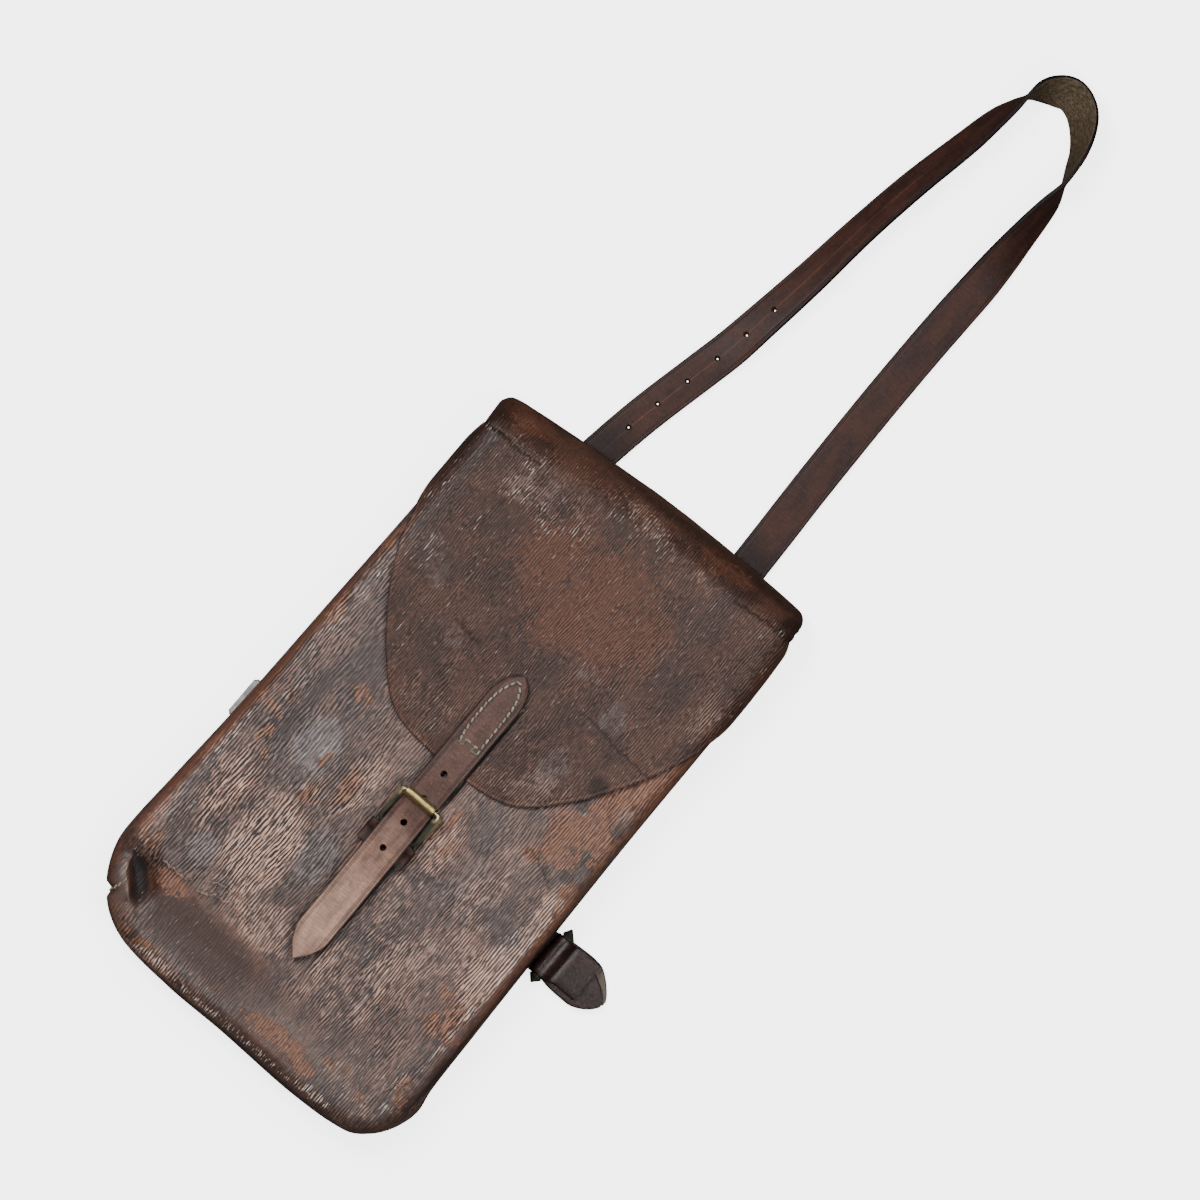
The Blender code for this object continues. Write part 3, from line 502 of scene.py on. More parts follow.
# %% [markdown]
# ## The moulded front
# On the real case the front is one wet-moulded piece of cowhide, sewn to the back panel round
# its foot. A subdivided box could be pushed into this shape, but its cells would stretch at the
# corners. Here a grid fills the outline and rings carry it over the rounded edge and down the
# wall, with the relief added along each point's own outward direction.
# %% Front of the case
SHELL_SIDE_CELLS = 100
SHELL_BASE_CELLS = 368
FINER_TO_CORNER = 0.75
EDGE_STEPS = 8
# How much of the relief stays where the wall stands upright
RELIEF_ON_WALL = 0.15
SHEET_EDGE_ROUND = 0.0004


def front_case():
    """The front: its face, its rounded edge, and its wall down to the back panel."""
    side_shares = [t * (1 + FINER_TO_CORNER * (1 - t)) for t in evenly(SHELL_SIDE_CELLS)]
    base_shares = evenly(SHELL_BASE_CELLS)
    outline = case_outline(MOUTH_LEFT, MOUTH_RIGHT, 0.0, 0.0)
    fractions = edge_fractions(outline, side_shares, base_shares)
    edge = [Vector(place) for place in along(outline, fractions)]
    normals = inward_normals(outline, fractions)
    inner = [point + normal * EDGE_RADIUS for point, normal in zip(edge, normals)]
    flat = fill_inside(inner, SHELL_SIDE_CELLS, base_shares)
    mesh = bmesh.new()
    grid = []
    for row in flat:
        heights = [front_height(p.x, p.y) + relief(p.x, p.y, CREASES, FRONT_RIDGES) for p in row]
        grid.append([mesh.verts.new((p.x, p.y, height)) for p, height in zip(row, heights)])
    grid_faces(mesh, grid)
    last = border_of(grid)
    tops = [front_height(point.x, point.y) for point in inner]
    bends = [(math.pi / 2 * (1 - k / EDGE_STEPS), None) for k in range(1, EDGE_STEPS + 1)]
    walls = [(0.0, level) for level in (0.019, WALL_MIDDLE, 0.010, SHELL_FOOT)]
    for angle, level in bends + walls:
        inset = EDGE_RADIUS * (1 - math.cos(angle))
        ring = []
        for point, normal, top in zip(edge, normals, tops):
            place = (point + normal * inset).to_3d() + dart(point.x, point.y) * math.cos(angle)
            place.z = level or top - EDGE_RADIUS * (1 - math.sin(angle))
            outward = Vector((-normal.x * math.cos(angle), -normal.y * math.cos(angle), math.sin(angle)))
            share = RELIEF_ON_WALL + (1 - RELIEF_ON_WALL) * math.sin(angle) ** 2
            rise = relief(place.x, place.y, CREASES, FRONT_RIDGES) * share
            ring.append(mesh.verts.new(place + outward * rise))
        for k in range(len(ring) - 1):
            mesh.faces.new((ring[k], ring[k + 1], last[k + 1], last[k]))
        last = ring
    piece = add_piece("case_front", mesh)
    thicken(piece, FRONT_LEATHER, -1, SHEET_EDGE_ROUND)
    return settle(piece)


case_front = front_case()

# %% [markdown]
# ## The flap, the fold and the back
# These are one length of leather. It starts at the flap's curved edge, lies over the front,
# folds over the top and runs down behind as the back panel. A tooled line follows the edge of
# the flap, so rings of points at fixed distances inside that edge carry a real groove.
# %% Flap sizes
FLAP_EDGE = (
    (-0.1110, 0.2150),
    (-0.1128, 0.2100),
    (-0.1160, 0.2020),
    (-0.1190, 0.1920),
    (-0.1176, 0.1750),
    (-0.1124, 0.1600),
    (-0.1070, 0.1470),
    (-0.1023, 0.1300),
    (-0.0880, 0.1030),
    (-0.0600, 0.0690),
    (-0.0400, 0.0545),
    (-0.0150, 0.0507),
    (0.0150, 0.0505),
    (0.0450, 0.0575),
    (0.0700, 0.0820),
    (0.0900, 0.1130),
    (0.0995, 0.1330),
    (0.1050, 0.1480),
    (0.1075, 0.1580),
    (0.1146, 0.1750),
    (0.1186, 0.1950),
    (0.1150, 0.2180),
    (0.1046, 0.2320),
)
FOLD_LINE = (
    (-0.1102, 0.2325),
    (-0.1070, 0.2372),
    (-0.0900, 0.2402),
    (-0.0600, 0.2440),
    (0.0000, 0.2495),
    (0.0600, 0.2510),
    (0.0980, 0.2502),
    (0.1018, 0.2480),
    (0.1036, 0.2440),
)
FOLD_PROFILE = (
    (0.00, 1.000),
    (0.16, 0.975),
    (0.36, 0.88),
    (0.56, 0.71),
    (0.74, 0.51),
    (0.89, 0.31),
    (0.98, 0.17),
    (0.97, 0.07),
    (0.85, 0.015),
    (0.66, 0.00),
)
FLAP_SIDE_CELLS = 112
FLAP_BASE_CELLS = 176
FOLD_CELLS = 30
BACK_SIDE_CELLS = 58
# Tooled line of the flap: distance inside the edge and rise in millimetres, then how dark
# it is painted: painted shadow at the edge and painted shade in the groove
EDGE_LINE = (
    (0.00, -0.10, 0.9),
    (0.35, 0.00, 0.2),
    (0.95, 0.05, -0.5),
    (1.40, -0.30, 1.1),
    (1.95, -0.30, 1.1),
    (2.40, 0.06, -0.5),
    (3.20, 0.00, 0.0),
)


def flap_point(across, y, rise):
    """A point of the flat flap laid over the front, rise above the flap's inner face."""
    left, right = smooth_row(CASE_SECTIONS, y)
    side = -1 if across < 0 else 1
    wall = -left if across < 0 else right
    start = wall - EDGE_RADIUS
    reach = abs(across)
    if reach <= start:
        return Vector((across, y, front_height(across, y) + FLAP_GAP + rise))
    radius = EDGE_RADIUS + FLAP_GAP
    angle = (reach - start) / radius
    centre = front_height(side * start, y) - EDGE_RADIUS
    radius += rise
    if angle <= math.pi / 2:
        return Vector((side * (start + radius * math.sin(angle)), y, centre + radius * math.cos(angle)))
    hang = reach - start - (EDGE_RADIUS + FLAP_GAP) * math.pi / 2
    return Vector((side * (wall + FLAP_GAP + rise), y, centre - hang))


# %% Flap, fold and back panel
def flap_rows():
    """The flap's grid and its edge rings: points on the flat pattern, each ring with rise and painted
    shade.
    """
    fractions = edge_fractions(FLAP_EDGE, evenly(FLAP_SIDE_CELLS), evenly(FLAP_BASE_CELLS))
    edge = [Vector(place) for place in along(FLAP_EDGE, fractions)]
    normals = inward_normals(FLAP_EDGE, fractions)
    rings = []
    for inset, rise, dirt in EDGE_LINE:
        ring = [point + normal * inset * MM for point, normal in zip(edge, normals)]
        rings.append((ring, rise * MM, dirt))
    inner = rings.pop()[0]
    return fill_inside(inner, FLAP_SIDE_CELLS, evenly(FLAP_BASE_CELLS)), rings[::-1]


def fold_rows(mouth, shares, back_ends):
    """Rows of points from the front's mouth round the fold to the top of the back panel."""
    rows = []
    for out, level in along(FOLD_PROFILE, evenly(FOLD_CELLS))[1:]:
        row = []
        for start, share in zip(mouth, shares):
            back_x = back_ends[0] + (back_ends[1] - back_ends[0]) * share
            x = start.x + (back_x - start.x) * min(1.0, out)
            fold = smooth_row(FOLD_LINE, x)[0] - BACK_LEATHER
            height = BACK_INSIDE + level * (start.z - BACK_INSIDE)
            place = Vector((x, start.y + (fold - start.y) * out, height))
            rise = relief(place.x, place.y, FLAP_CREASES, FLAP_RIDGES)
            outward = Vector((0, out, max(0.0, 1 - out)))
            row.append(place + outward * rise * smooth_step(0.0, 0.3, level))
        rows.append(row)
    return rows


# %% Back panel
def back_rows(top_row, shares):
    """Rows of points of the flat back panel, from the fold down to its base."""
    outline = case_outline(top_row[0].y, top_row[-1].y, BACK_LIP, CORNER_REACH)
    outline[0] = (top_row[0].x, top_row[0].y)
    outline[-1] = (top_row[-1].x, top_row[-1].y)
    side_shares = [t * (1 + FINER_TO_CORNER * (1 - t)) for t in evenly(BACK_SIDE_CELLS)]
    fractions = edge_fractions(outline, side_shares, shares)
    edge = [Vector(place) for place in along(outline, fractions)]
    panel = fill_inside(edge, BACK_SIDE_CELLS, shares)
    bows = [point.y - flat.y for point, flat in zip(top_row, panel[-1])]
    rows = []
    for j in range(BACK_SIDE_CELLS - 1, -1, -1):
        share = (j / BACK_SIDE_CELLS) ** 3
        bowed = [Vector((p.x, p.y + share * bow, BACK_INSIDE)) for p, bow in zip(panel[j], bows)]
        rows.append([place + dart(place.x, place.y) for place in bowed])
    return rows


# %% Flap and back in one sheet
LEAST_SHARE = 0.0004


def even_out(row):
    """Shares of a row's width at its points, each a little more than the one before."""
    width = row[-1].x - row[0].x
    shares = [(point.x - row[0].x) / width for point in row]
    for k in range(1, len(shares)):
        shares[k] = max(shares[k], shares[k - 1] + LEAST_SHARE)
    return [share / shares[-1] for share in shares]


def flap_and_back():
    """One sheet: the flap with its tooled line, the fold, and the back panel."""
    grid, rings = flap_rows()
    mesh = bmesh.new()
    tooled = mesh.verts.layers.float.new("tooled")

    def add(flat, rise, dirt):
        """A point of the flap, with the painted shade of its place on the edge."""
        x, y = flat
        vertex = mesh.verts.new(flap_point(x, y, rise + relief(x, y, FLAP_CREASES, FLAP_RIDGES)))
        vertex[tooled] = dirt
        return vertex

    rows = [[add(point, 0.0, 0.0) for point in row] for row in grid]
    grid_faces(mesh, rows)
    last = border_of(rows)
    left, right = [last[0]], [last[-1]]
    for ring, rise, dirt in rings:
        edge = [add(point, rise, dirt) for point in ring]
        for k in range(len(edge) - 1):
            mesh.faces.new((edge[k], edge[k + 1], last[k + 1], last[k]))
        last = edge
        left.append(edge[0])
        right.append(edge[-1])
    mouth_row = left[::-1] + rows[-1][1:-1] + right
    mouth = [vertex.co.copy() for vertex in mouth_row]
    shares = even_out(mouth)
    left_end = smooth_row(CASE_SECTIONS, FOLD_LINE[0][1])[0] - BACK_LIP
    right_end = smooth_row(CASE_SECTIONS, FOLD_LINE[-1][1])[1] + BACK_LIP
    folded = fold_rows(mouth, shares, (left_end, right_end))
    sheet = [[mesh.verts.new(point) for point in row] for row in folded + back_rows(folded[-1], shares)]
    grid_faces(mesh, [mouth_row] + sheet)
    piece = add_piece("flap_and_back", mesh)
    thicken(piece, BACK_LEATHER, 1, SHEET_EDGE_ROUND)
    return settle(piece)


flap = flap_and_back()

# %% [markdown]
# ## Straps
# A strap is cut from thick leather, its edges are rounded and burnished, and a line is pressed
# along each side. One section with those features is swept along the strap's path. Each point
# keeps how far along and across the strap it lies, so that grain and stains follow the leather
# round its bends.
# %% Sweep for straps
EDGE_ROUND = 0.0007
GROOVE_HALF = 0.00035
STRAP_MARKS = ("across", "along", "skin", "inset")


def strap_section(half_width, thickness, grooves, crown=0.0):
    """Points of a strap's section: across, up from its middle. The grain side is on top."""
    half = thickness / 2
    turns = evenly(3, 0, math.pi / 2)
    corner = [(EDGE_ROUND * (1 - math.cos(a)), EDGE_ROUND * (1 - math.sin(a))) for a in turns]
    places = {0.0: 0.0}
    for inset, depth in grooves:
        middle = math.copysign(half_width - abs(inset), inset)
        for offset, share in ((-2.2, 0), (-1, 0.25), (0, 1), (1, 0.25), (2.2, 0)):
            places[middle + offset * GROOVE_HALF] = -depth * share
    spread = half_width - EDGE_ROUND
    for k in range(-5, 6):
        place = spread * k / 6
        if all(abs(place - other) > 0.0011 for other in places):
            places[place] = 0.0
    top = [(x, half + rise - crown * (x / half_width) ** 2) for x, rise in sorted(places.items())]
    right_top = [(half_width - a, half - crown - b) for a, b in corner[::-1]]
    right_low = [(half_width - a, -half + b) for a, b in corner]
    left_low = [(-half_width + a, -half + b) for a, b in corner[::-1]]
    left_top = [(-half_width + a, half - crown - b) for a, b in corner]
    low = [(spread * k / 4, -half) for k in range(3, -4, -1)]
    return top + right_top + right_low + low + left_low + left_top


# %% Sweep along stations
def sweep_strap(name, stations, thickness, grooves, crown=0.0):
    """A closed strap. A station is: middle, side direction, face direction, half width, length."""
    mesh = bmesh.new()
    rings, values = [], []
    nominal = max(station[3] for station in stations)
    section = strap_section(nominal, thickness, grooves, crown)
    for middle, side, face, half_width, length in stations:
        shrink = half_width / nominal
        rings.append([mesh.verts.new(middle + side * x * shrink + face * z) for x, z in section])
        values += [(x * shrink, length, z / thickness, half_width - abs(x * shrink)) for x, z in section]
    for start, end in zip(rings, rings[1:]):
        for k in range(len(section)):
            after = (k + 1) % len(section)
            mesh.faces.new((start[k], start[after], end[after], end[k]))
    mesh.faces.new(rings[0][::-1])
    mesh.faces.new(rings[-1])
    bmesh.ops.recalc_face_normals(mesh, faces=mesh.faces)
    piece = add_piece(name, mesh)
    for column, word in enumerate(STRAP_MARKS):
        add_values(piece, word, [row[column] for row in values])
    return piece


def stations_on(points, half_width_at, side):
    """Stations of a strap through points in a plane, with its face turned up from its run."""
    stations = []
    length = 0.0
    for k, point in enumerate(points):
        before, after = points[max(k - 1, 0)], points[min(k + 1, len(points) - 1)]
        run = (after - before).normalized()
        length += (point - before).length if k else 0.0
        stations.append((point, side, side.cross(run), half_width_at(point), length))
    return stations


# %% Punched holes
def punch(piece, holes, low_radius, high_radius, depth):
    """Cuts holes, each at a point along a direction, and gives new points their values."""
    kept = points_of(piece)
    tree = kdtree.KDTree(len(kept))
    for index, point in enumerate(kept):
        tree.insert(point * MM, index)
    tree.balance()
    values = {}
    for word in STRAP_MARKS:
        column = np.zeros(len(kept), np.float32)
        piece.data.attributes[word].data.foreach_get("value", column)
        values[word] = column
    cutters = []
    for middle, direction in holes:
        mesh = bmesh.new()
        bmesh.ops.create_cone(
            mesh,
            cap_ends=True,
            segments=24,
            radius1=low_radius,
            radius2=high_radius,
            depth=depth,
        )
        turn = Vector((0, 0, 1)).rotation_difference(direction)
        bmesh.ops.rotate(mesh, verts=mesh.verts, matrix=turn.to_matrix())
        bmesh.ops.translate(mesh, verts=mesh.verts, vec=middle)
        cutter = add_piece("punch", mesh)
        cutters.append(cutter)
        opening = piece.modifiers.new("hole", "BOOLEAN")
        opening.object = cutter
        opening.solver = "EXACT"
    settle(piece)
    for cutter in cutters:
        bpy.data.objects.remove(cutter)
    nearest = [tree.find(vertex.co)[1] for vertex in piece.data.vertices]
    for word, column in values.items():
        old = piece.data.attributes.get(word)
        if old:
            piece.data.attributes.remove(old)
        add_values(piece, word, column[nearest])
    return piece


# %% [markdown]
# ## The closure strap
# It is sewn on the flap at its head, passes under the roller, rides over the heel bar and ends
# in a point. A curve with a bevelled section could be bent this way too, but its ends could not
# narrow to a round head and a point. Its holes are punched through with Booleans, and its grain
# side carries two pressed lines along each edge.
# %% Closure strap
STRAP_LEATHER = 0.0022
ON_FLAP = FLAP_GAP + BACK_LEATHER + 2 * FIT_GAP
STRAP_STATIONS = (
    (0.1175, 0.0025, ON_FLAP),
    (0.1000, 0.0024, ON_FLAP),
    (0.0620, 0.0027, ON_FLAP),
    (0.0480, 0.0028, ON_FLAP),
    (0.0380, 0.0028, 0.0036),
    (0.0265, 0.0030, 0.0028),
    (0.0205, 0.0031, 0.0028),
    (0.0105, 0.0032, 0.0070),
    (0.0040, 0.0033, 0.0093),
    (-0.0030, 0.0034, 0.0095),
    (-0.0120, 0.0036, 0.0082),
    (-0.0280, 0.0039, 0.0056),
    (-0.0500, 0.0043, 0.0043),
    (-0.0750, 0.0046, 0.0042),
    (-0.0925, 0.0050, 0.0032),
)
STRAP_WIDTH = 0.0220
HEAD_SHOULDER = 0.0960
TAIL_SHOULDER = -0.0720
STRAP_HOLES = (0.0452, 0.0268, 0.0092, -0.0096)
STRAP_HOLE_RADIUS = 0.0020
# Pressed lines: distance in from the right edge (minus) or the left edge, and depth
STRAP_LINES = ((-0.0020, 0.00022), (-0.0031, 0.00018), (0.0020, 0.00022), (0.0031, 0.00020))


def strap_half_width(point):
    """Half of the closure strap's width, down to its rounded head and pointed tail."""
    head, tail = STRAP_STATIONS[0][0], STRAP_STATIONS[-1][0]
    if point.y > HEAD_SHOULDER:
        t = min((point.y - HEAD_SHOULDER) / (head - HEAD_SHOULDER), 1.0)
        return STRAP_WIDTH / 2 * max(0.05, (1 - t ** 2) ** 0.5)
    if point.y < TAIL_SHOULDER:
        t = min((TAIL_SHOULDER - point.y) / (TAIL_SHOULDER - tail), 1.0)
        return STRAP_WIDTH / 2 * max(0.05, 1 - t ** 1.9)
    return STRAP_WIDTH / 2


def strap_middle(y, above=0.5):
    """A point in the closure strap's middle plane, above its underside by a share of its thickness."""
    centre, lift = smooth_row(STRAP_STATIONS, y)
    return Vector((centre, y, front_height(centre, y) + lift + STRAP_LEATHER * above))


def closure():
    """The closure strap, swept along the case and then punched."""
    head, tail = STRAP_STATIONS[0][0], STRAP_STATIONS[-1][0]
    shares = [t - 0.5 * math.sin(2 * math.pi * t) / (2 * math.pi) for t in evenly(260)]
    points = [strap_middle(head + (tail - head) * share) for share in shares]
    stations = stations_on(points, strap_half_width, Vector((-1, 0, 0)))
    piece = sweep_strap("closure_strap_leather", stations, STRAP_LEATHER, STRAP_LINES, 0.00015)
    holes = [(strap_middle(y), Vector((0, 0, 1))) for y in STRAP_HOLES]
    return punch(piece, holes, STRAP_HOLE_RADIUS, STRAP_HOLE_RADIUS, 0.012)


closure_strap = closure()

# %% [markdown]
# ## The shoulder strap
# A long strap lies behind the case in one loop. Its legs lie flat, and at the far end it stands
# on edge and leans over, so that its flesh side shows. Cloth physics would drape a strap, but
# hardly into the very loop of the photograph. So the path has a lean at each place, and the
# height follows from it, because the lowest edge always touches the table.
# %% Shoulder strap
SHOULDER_WIDTH = 0.0225
SHOULDER_STATIONS = (
    (-0.0555, 0.1636, 180.0),
    (-0.0550, 0.2000, 180.0),
    (-0.0485, 0.2500, 180.0),
    (-0.0435, 0.2800, 180.0),
    (-0.0348, 0.3200, 178.0),
    (-0.0305, 0.3400, 170.0),
    (-0.0275, 0.3600, 159.0),
    (-0.0220, 0.4000, 148.0),
    (-0.0175, 0.4400, 139.0),
    (-0.0115, 0.4800, 135.0),
    (-0.0035, 0.5200, 128.0),
    (0.0000, 0.5400, 119.0),
    (0.0027, 0.5510, 108.0),
    (0.0060, 0.5620, 90.0),
    (0.0105, 0.5695, 62.0),
    (0.0160, 0.5750, 43.0),
    (0.0235, 0.5792, 32.0),
    (0.0305, 0.5785, 34.0),
    (0.0375, 0.5745, 41.0),
    (0.0440, 0.5670, 54.0),
    (0.0495, 0.5570, 68.0),
    (0.0525, 0.5470, 78.0),
    (0.0550, 0.5370, 91.0),
    (0.0562, 0.5260, 110.0),
    (0.0562, 0.5150, 121.0),
    (0.0560, 0.5000, 132.0),
    (0.0560, 0.4800, 148.0),
    (0.0560, 0.4600, 163.0),
    (0.0555, 0.4400, 172.0),
    (0.0552, 0.4100, 179.0),
    (0.0555, 0.3700, 180.0),
    (0.0570, 0.3100, 180.0),
    (0.0587, 0.2700, 180.0),
    (0.0600, 0.2300, 180.0),
    (0.0605, 0.1900, 180.0),
)
SHOULDER_HOLES = 6
FIRST_SHOULDER_HOLE = 0.2670
HOLE_PITCH = 0.0217
# Radii of a hole 0.5 mm below the strap and 0.5 mm above it: an awl leaves it nearly closed
AWL_RADII = (0.0003, 0.0019)
SHOULDER_LINES = ((-0.0022, 0.00020), (0.0022, 0.00020))
SHOULDER_CELLS = 470


# %% Sweep of the shoulder strap
def shoulder_section(fraction, rows):
    """Middle, side direction and face direction of the shoulder strap at a share of its length."""
    length = rows[-1][0]
    step = 0.0008
    low = smooth_row(rows, max(fraction - step, 0.0) * length)
    high = smooth_row(rows, min(fraction + step, 1.0) * length)
    x, y, lean = smooth_row(rows, fraction * length)
    run = Vector((high[0] - low[0], high[1] - low[1], 0)).normalized()
    outward = Vector((-run.y, run.x, 0))
    angle = math.radians(lean)
    side = outward * math.cos(angle) + Vector((0, 0, math.sin(angle)))
    face = side.cross(run)
    height = SHOULDER_WIDTH / 2 * abs(side.z) + SHOULDER_LEATHER / 2 * abs(face.z)
    return Vector((x, y, height)), side, face


def shoulder():
    """The shoulder strap, swept round its loop, with the holes of its left leg."""
    rows = by_length(SHOULDER_STATIONS)
    length = rows[-1][0]
    stations = []
    for share in evenly(SHOULDER_CELLS):
        middle, side, face = shoulder_section(share, rows)
        stations.append((middle, side, face, SHOULDER_WIDTH / 2, share * length))
    piece = sweep_strap("shoulder_strap_leather", stations, SHOULDER_LEATHER, SHOULDER_LINES, 0.0002)
    first = next(row[0] for row in rows if row[2] >= FIRST_SHOULDER_HOLE)
    while smooth_row(rows, first)[1] > FIRST_SHOULDER_HOLE:
        first -= 0.0005
    holes = []
    for number in range(SHOULDER_HOLES):
        middle, _, face = shoulder_section((first + number * HOLE_PITCH) / length, rows)
        holes.append((middle, face))
    return punch(piece, holes, *AWL_RADII, SHOULDER_LEATHER + 0.0010)


shoulder_strap = shoulder()

# %% [markdown]
# ## The strap across the back and the side tab
# A flat strap runs under the case. Its left end just shows, and its right end comes out as the
# lowest layer of the side tab. On it lies a second leather, folded round a metal bar. Neither is
# even about its middle, so their tables give a lower and an upper edge instead of a width, and
# the same sweep makes them.
# %% Back strap and side tab
BACK_STRAP_LEATHER = 0.0028
BACK_STRAP_SECTIONS = (
    (-0.1165, -0.0080, 0.0145),
    (-0.1155, -0.0097, 0.0162),
    (-0.1120, -0.0100, 0.0165),
    (0.1050, -0.0100, 0.0165),
    (0.1250, -0.0100, 0.0190),
    (0.1440, -0.0097, 0.0190),
    (0.1520, -0.0062, 0.0140),
    (0.1580, -0.0010, 0.0078),
    (0.1600, 0.0020, 0.0045),
)
SIDE_LOWER = (
    (0.1592, -0.0003, 0.0018),
    (0.1572, -0.0032, 0.0048),
    (0.1540, -0.0062, 0.0078),
    (0.1500, -0.0088, 0.0103),
    (0.1450, -0.0107, 0.0128),
    (0.1400, -0.0110, 0.0140),
    (0.1290, -0.0108, 0.0150),
)
SIDE_UPPER = ((0.1290, -0.0072, 0.0186), (0.1340, -0.0070, 0.0190), (0.1445, -0.0068, 0.0188))
SIDE_ROLL_EDGES = (-0.0090, 0.0180)
SIDE_BAR_AT = 0.1190
SIDE_BAR_RADIUS = 0.0035
SIDE_LEATHER = 0.0022
BACK_STRAP_LINES = ((-0.002, 0.0002), (0.002, 0.0002))


def layered_strap(name, rows, thickness, grooves, cells):
    """A strap through rows of: across, up, lower edge, upper edge, made smooth between them."""
    rows = [(*row[:2], (row[2] + row[3]) / 2, (row[3] - row[2]) / 2) for row in rows]
    smooth = along(rows, evenly(cells))
    points = [Vector((x, middle, z)) for x, z, middle, _ in smooth]
    stations = []
    for station, row in zip(stations_on(points, lambda point: 0.0, Vector((0, 1, 0))), smooth):
        point, side, face, _, length = station
        stations.append((point, side, face, row[3], length))
    piece = sweep_strap(name, stations, thickness, grooves)
    return settle(piece)


def side_leather_rows():
    """The side tab's path: the lower layer inwards, round the bar and back as the upper layer."""
    half = SIDE_LEATHER / 2
    lower = BACK_STRAP_LEATHER + FIT_GAP + half
    upper = lower + SIDE_LEATHER + FIT_GAP
    turn = SIDE_BAR_RADIUS + FIT_GAP + half
    rows = [(x, lower, low, high) for x, low, high in SIDE_LOWER]
    for k in range(13):
        angle = math.radians(-90 - 21 * k)
        place = (SIDE_BAR_AT + turn * math.cos(angle), lower + turn + turn * math.sin(angle))
        rows.append((*place, *SIDE_ROLL_EDGES))
    rows.append((SIDE_BAR_AT + turn + 0.0018, upper + 0.0012, *SIDE_ROLL_EDGES))
    return rows + [(x, upper, low, high) for x, low, high in SIDE_UPPER]


back_strap_rows = [(x, BACK_STRAP_LEATHER / 2, low, high) for x, low, high in BACK_STRAP_SECTIONS]
back_strap = layered_strap(
    "back_strap_leather",
    back_strap_rows,
    BACK_STRAP_LEATHER,
    BACK_STRAP_LINES,
    150,
)
side_tab = layered_strap("side_tab_leather", side_leather_rows(), SIDE_LEATHER, (), 170)

# %% [markdown]
# ## The front buckle
# The frame is one bent brass wire, thin under the roller and stout at the sides. A torus or a
# bevelled curve has one thickness all round. Here a path with a radius at each point is turned
# into a wire by a small tree of Geometry Nodes, which makes the prong too.
# %% Wires by Geometry Nodes
def new_tree(name, inputs):
    """A Geometry Nodes tree with a mesh in and out, and named inputs. Returns it with its ends."""
    tree = bpy.data.node_groups.new(name, "GeometryNodeTree")
    tree.interface.new_socket("Mesh", in_out="INPUT", socket_type="NodeSocketGeometry")
    for word, kind in inputs:
        tree.interface.new_socket(word, in_out="INPUT", socket_type=kind)
    tree.interface.new_socket("Mesh", in_out="OUTPUT", socket_type="NodeSocketGeometry")
    return tree, tree.nodes.new("NodeGroupInput"), tree.nodes.new("NodeGroupOutput")


def put(tree, kind, settings=None, **sockets):
    """Adds a node. Sockets are given by name, with _ for a space, as a value or an output."""
    made = tree.nodes.new(kind)
    for key, value in (settings or {}).items():
        setattr(made, key, value)
    for key, value in sockets.items():
        socket = made.inputs[key.replace("_", " ")]
        if isinstance(value, bpy.types.NodeSocket):
            tree.links.new(value, socket)
        else:
            socket.default_value = value
    return made


def run_tree(name, path, tree, values, radii=None):
    """Runs a tree on a path of points and keeps the result as a plain mesh."""
    data = bpy.data.meshes.new(name)
    data.from_pydata(path, [(k, k + 1) for k in range(len(path) - 1)], [])
    piece = bpy.data.objects.new(name, data)
    scene.collection.objects.link(piece)
    if radii:
        add_values(piece, "wire_radius", radii)
    modifier = piece.modifiers.new("nodes", "NODES")
    modifier.node_group = tree
    for item in tree.interface.items_tree:
        if item.in_out == "INPUT" and item.name in values:
            modifier[item.identifier] = values[item.name]
    return settle(piece)


def wire_tree():
    """Path in, round wire out, with the radius that each point of the path keeps."""
    tree, start, end = new_tree("wire", (("Sides", "NodeSocketInt"), ("Material", "NodeSocketMaterial")))
    curve = put(tree, "GeometryNodeMeshToCurve", Mesh=start.outputs["Mesh"])
    radius = put(tree, "GeometryNodeInputNamedAttribute", {"data_type": "FLOAT"}, Name="wire_radius")
    circle = put(tree, "GeometryNodeCurvePrimitiveCircle", Resolution=start.outputs["Sides"], Radius=1.0)
    wire = put(
        tree,
        "GeometryNodeCurveToMesh",
        Curve=curve.outputs["Curve"],
        Profile_Curve=circle.outputs["Curve"],
        Scale=radius.outputs["Attribute"],
        Fill_Caps=True,
    )
    realized = put(tree, "GeometryNodeRealizeInstances", Geometry=wire.outputs["Mesh"])
    coloured = put(
        tree,
        "GeometryNodeSetMaterial",
        Geometry=realized.outputs["Geometry"],
        Material=start.outputs["Material"],
    )
    tree.links.new(coloured.outputs["Geometry"], end.inputs["Mesh"])
    return tree


# %% [markdown]
# The frame's path is a rectangle with round corners, tilted as the buckle lies. The sides of
# the real frame are stout and flattened by wear, and its corners shine where hands touch them.
# %% Buckle frame and prong
BUCKLE_CENTRE = 0.0035
FRONT_HALF_WIDTH = 0.0141
HEEL_HALF_WIDTH = 0.0128
BUCKLE_CORNER = 0.0028
HEEL_PLACE = 0.0020
HEEL_LIFT = 0.0047
HEEL_RADIUS = 0.0017
FRONT_BAR_PLACE = 0.0247
FRONT_BAR_LIFT = 0.0085
FRONT_BAR_RADIUS = 0.0012
LEFT_RADII = (0.0021, 0.0016)
RIGHT_RADII = (0.0030, 0.0019)
PRONG_RADIUS = 0.0011
PRONG_TIP_RADIUS = 0.0008
PRONG_TIP = 0.0278
CORNER_STEPS = 12


def buckle_height(y):
    """Height of the tilted buckle frame's middle at a place along the case."""
    heel = front_height(BUCKLE_CENTRE, HEEL_PLACE) + HEEL_LIFT
    front = front_height(BUCKLE_CENTRE, FRONT_BAR_PLACE) + FRONT_BAR_LIFT
    return heel + (front - heel) * (y - HEEL_PLACE) / (FRONT_BAR_PLACE - HEEL_PLACE)


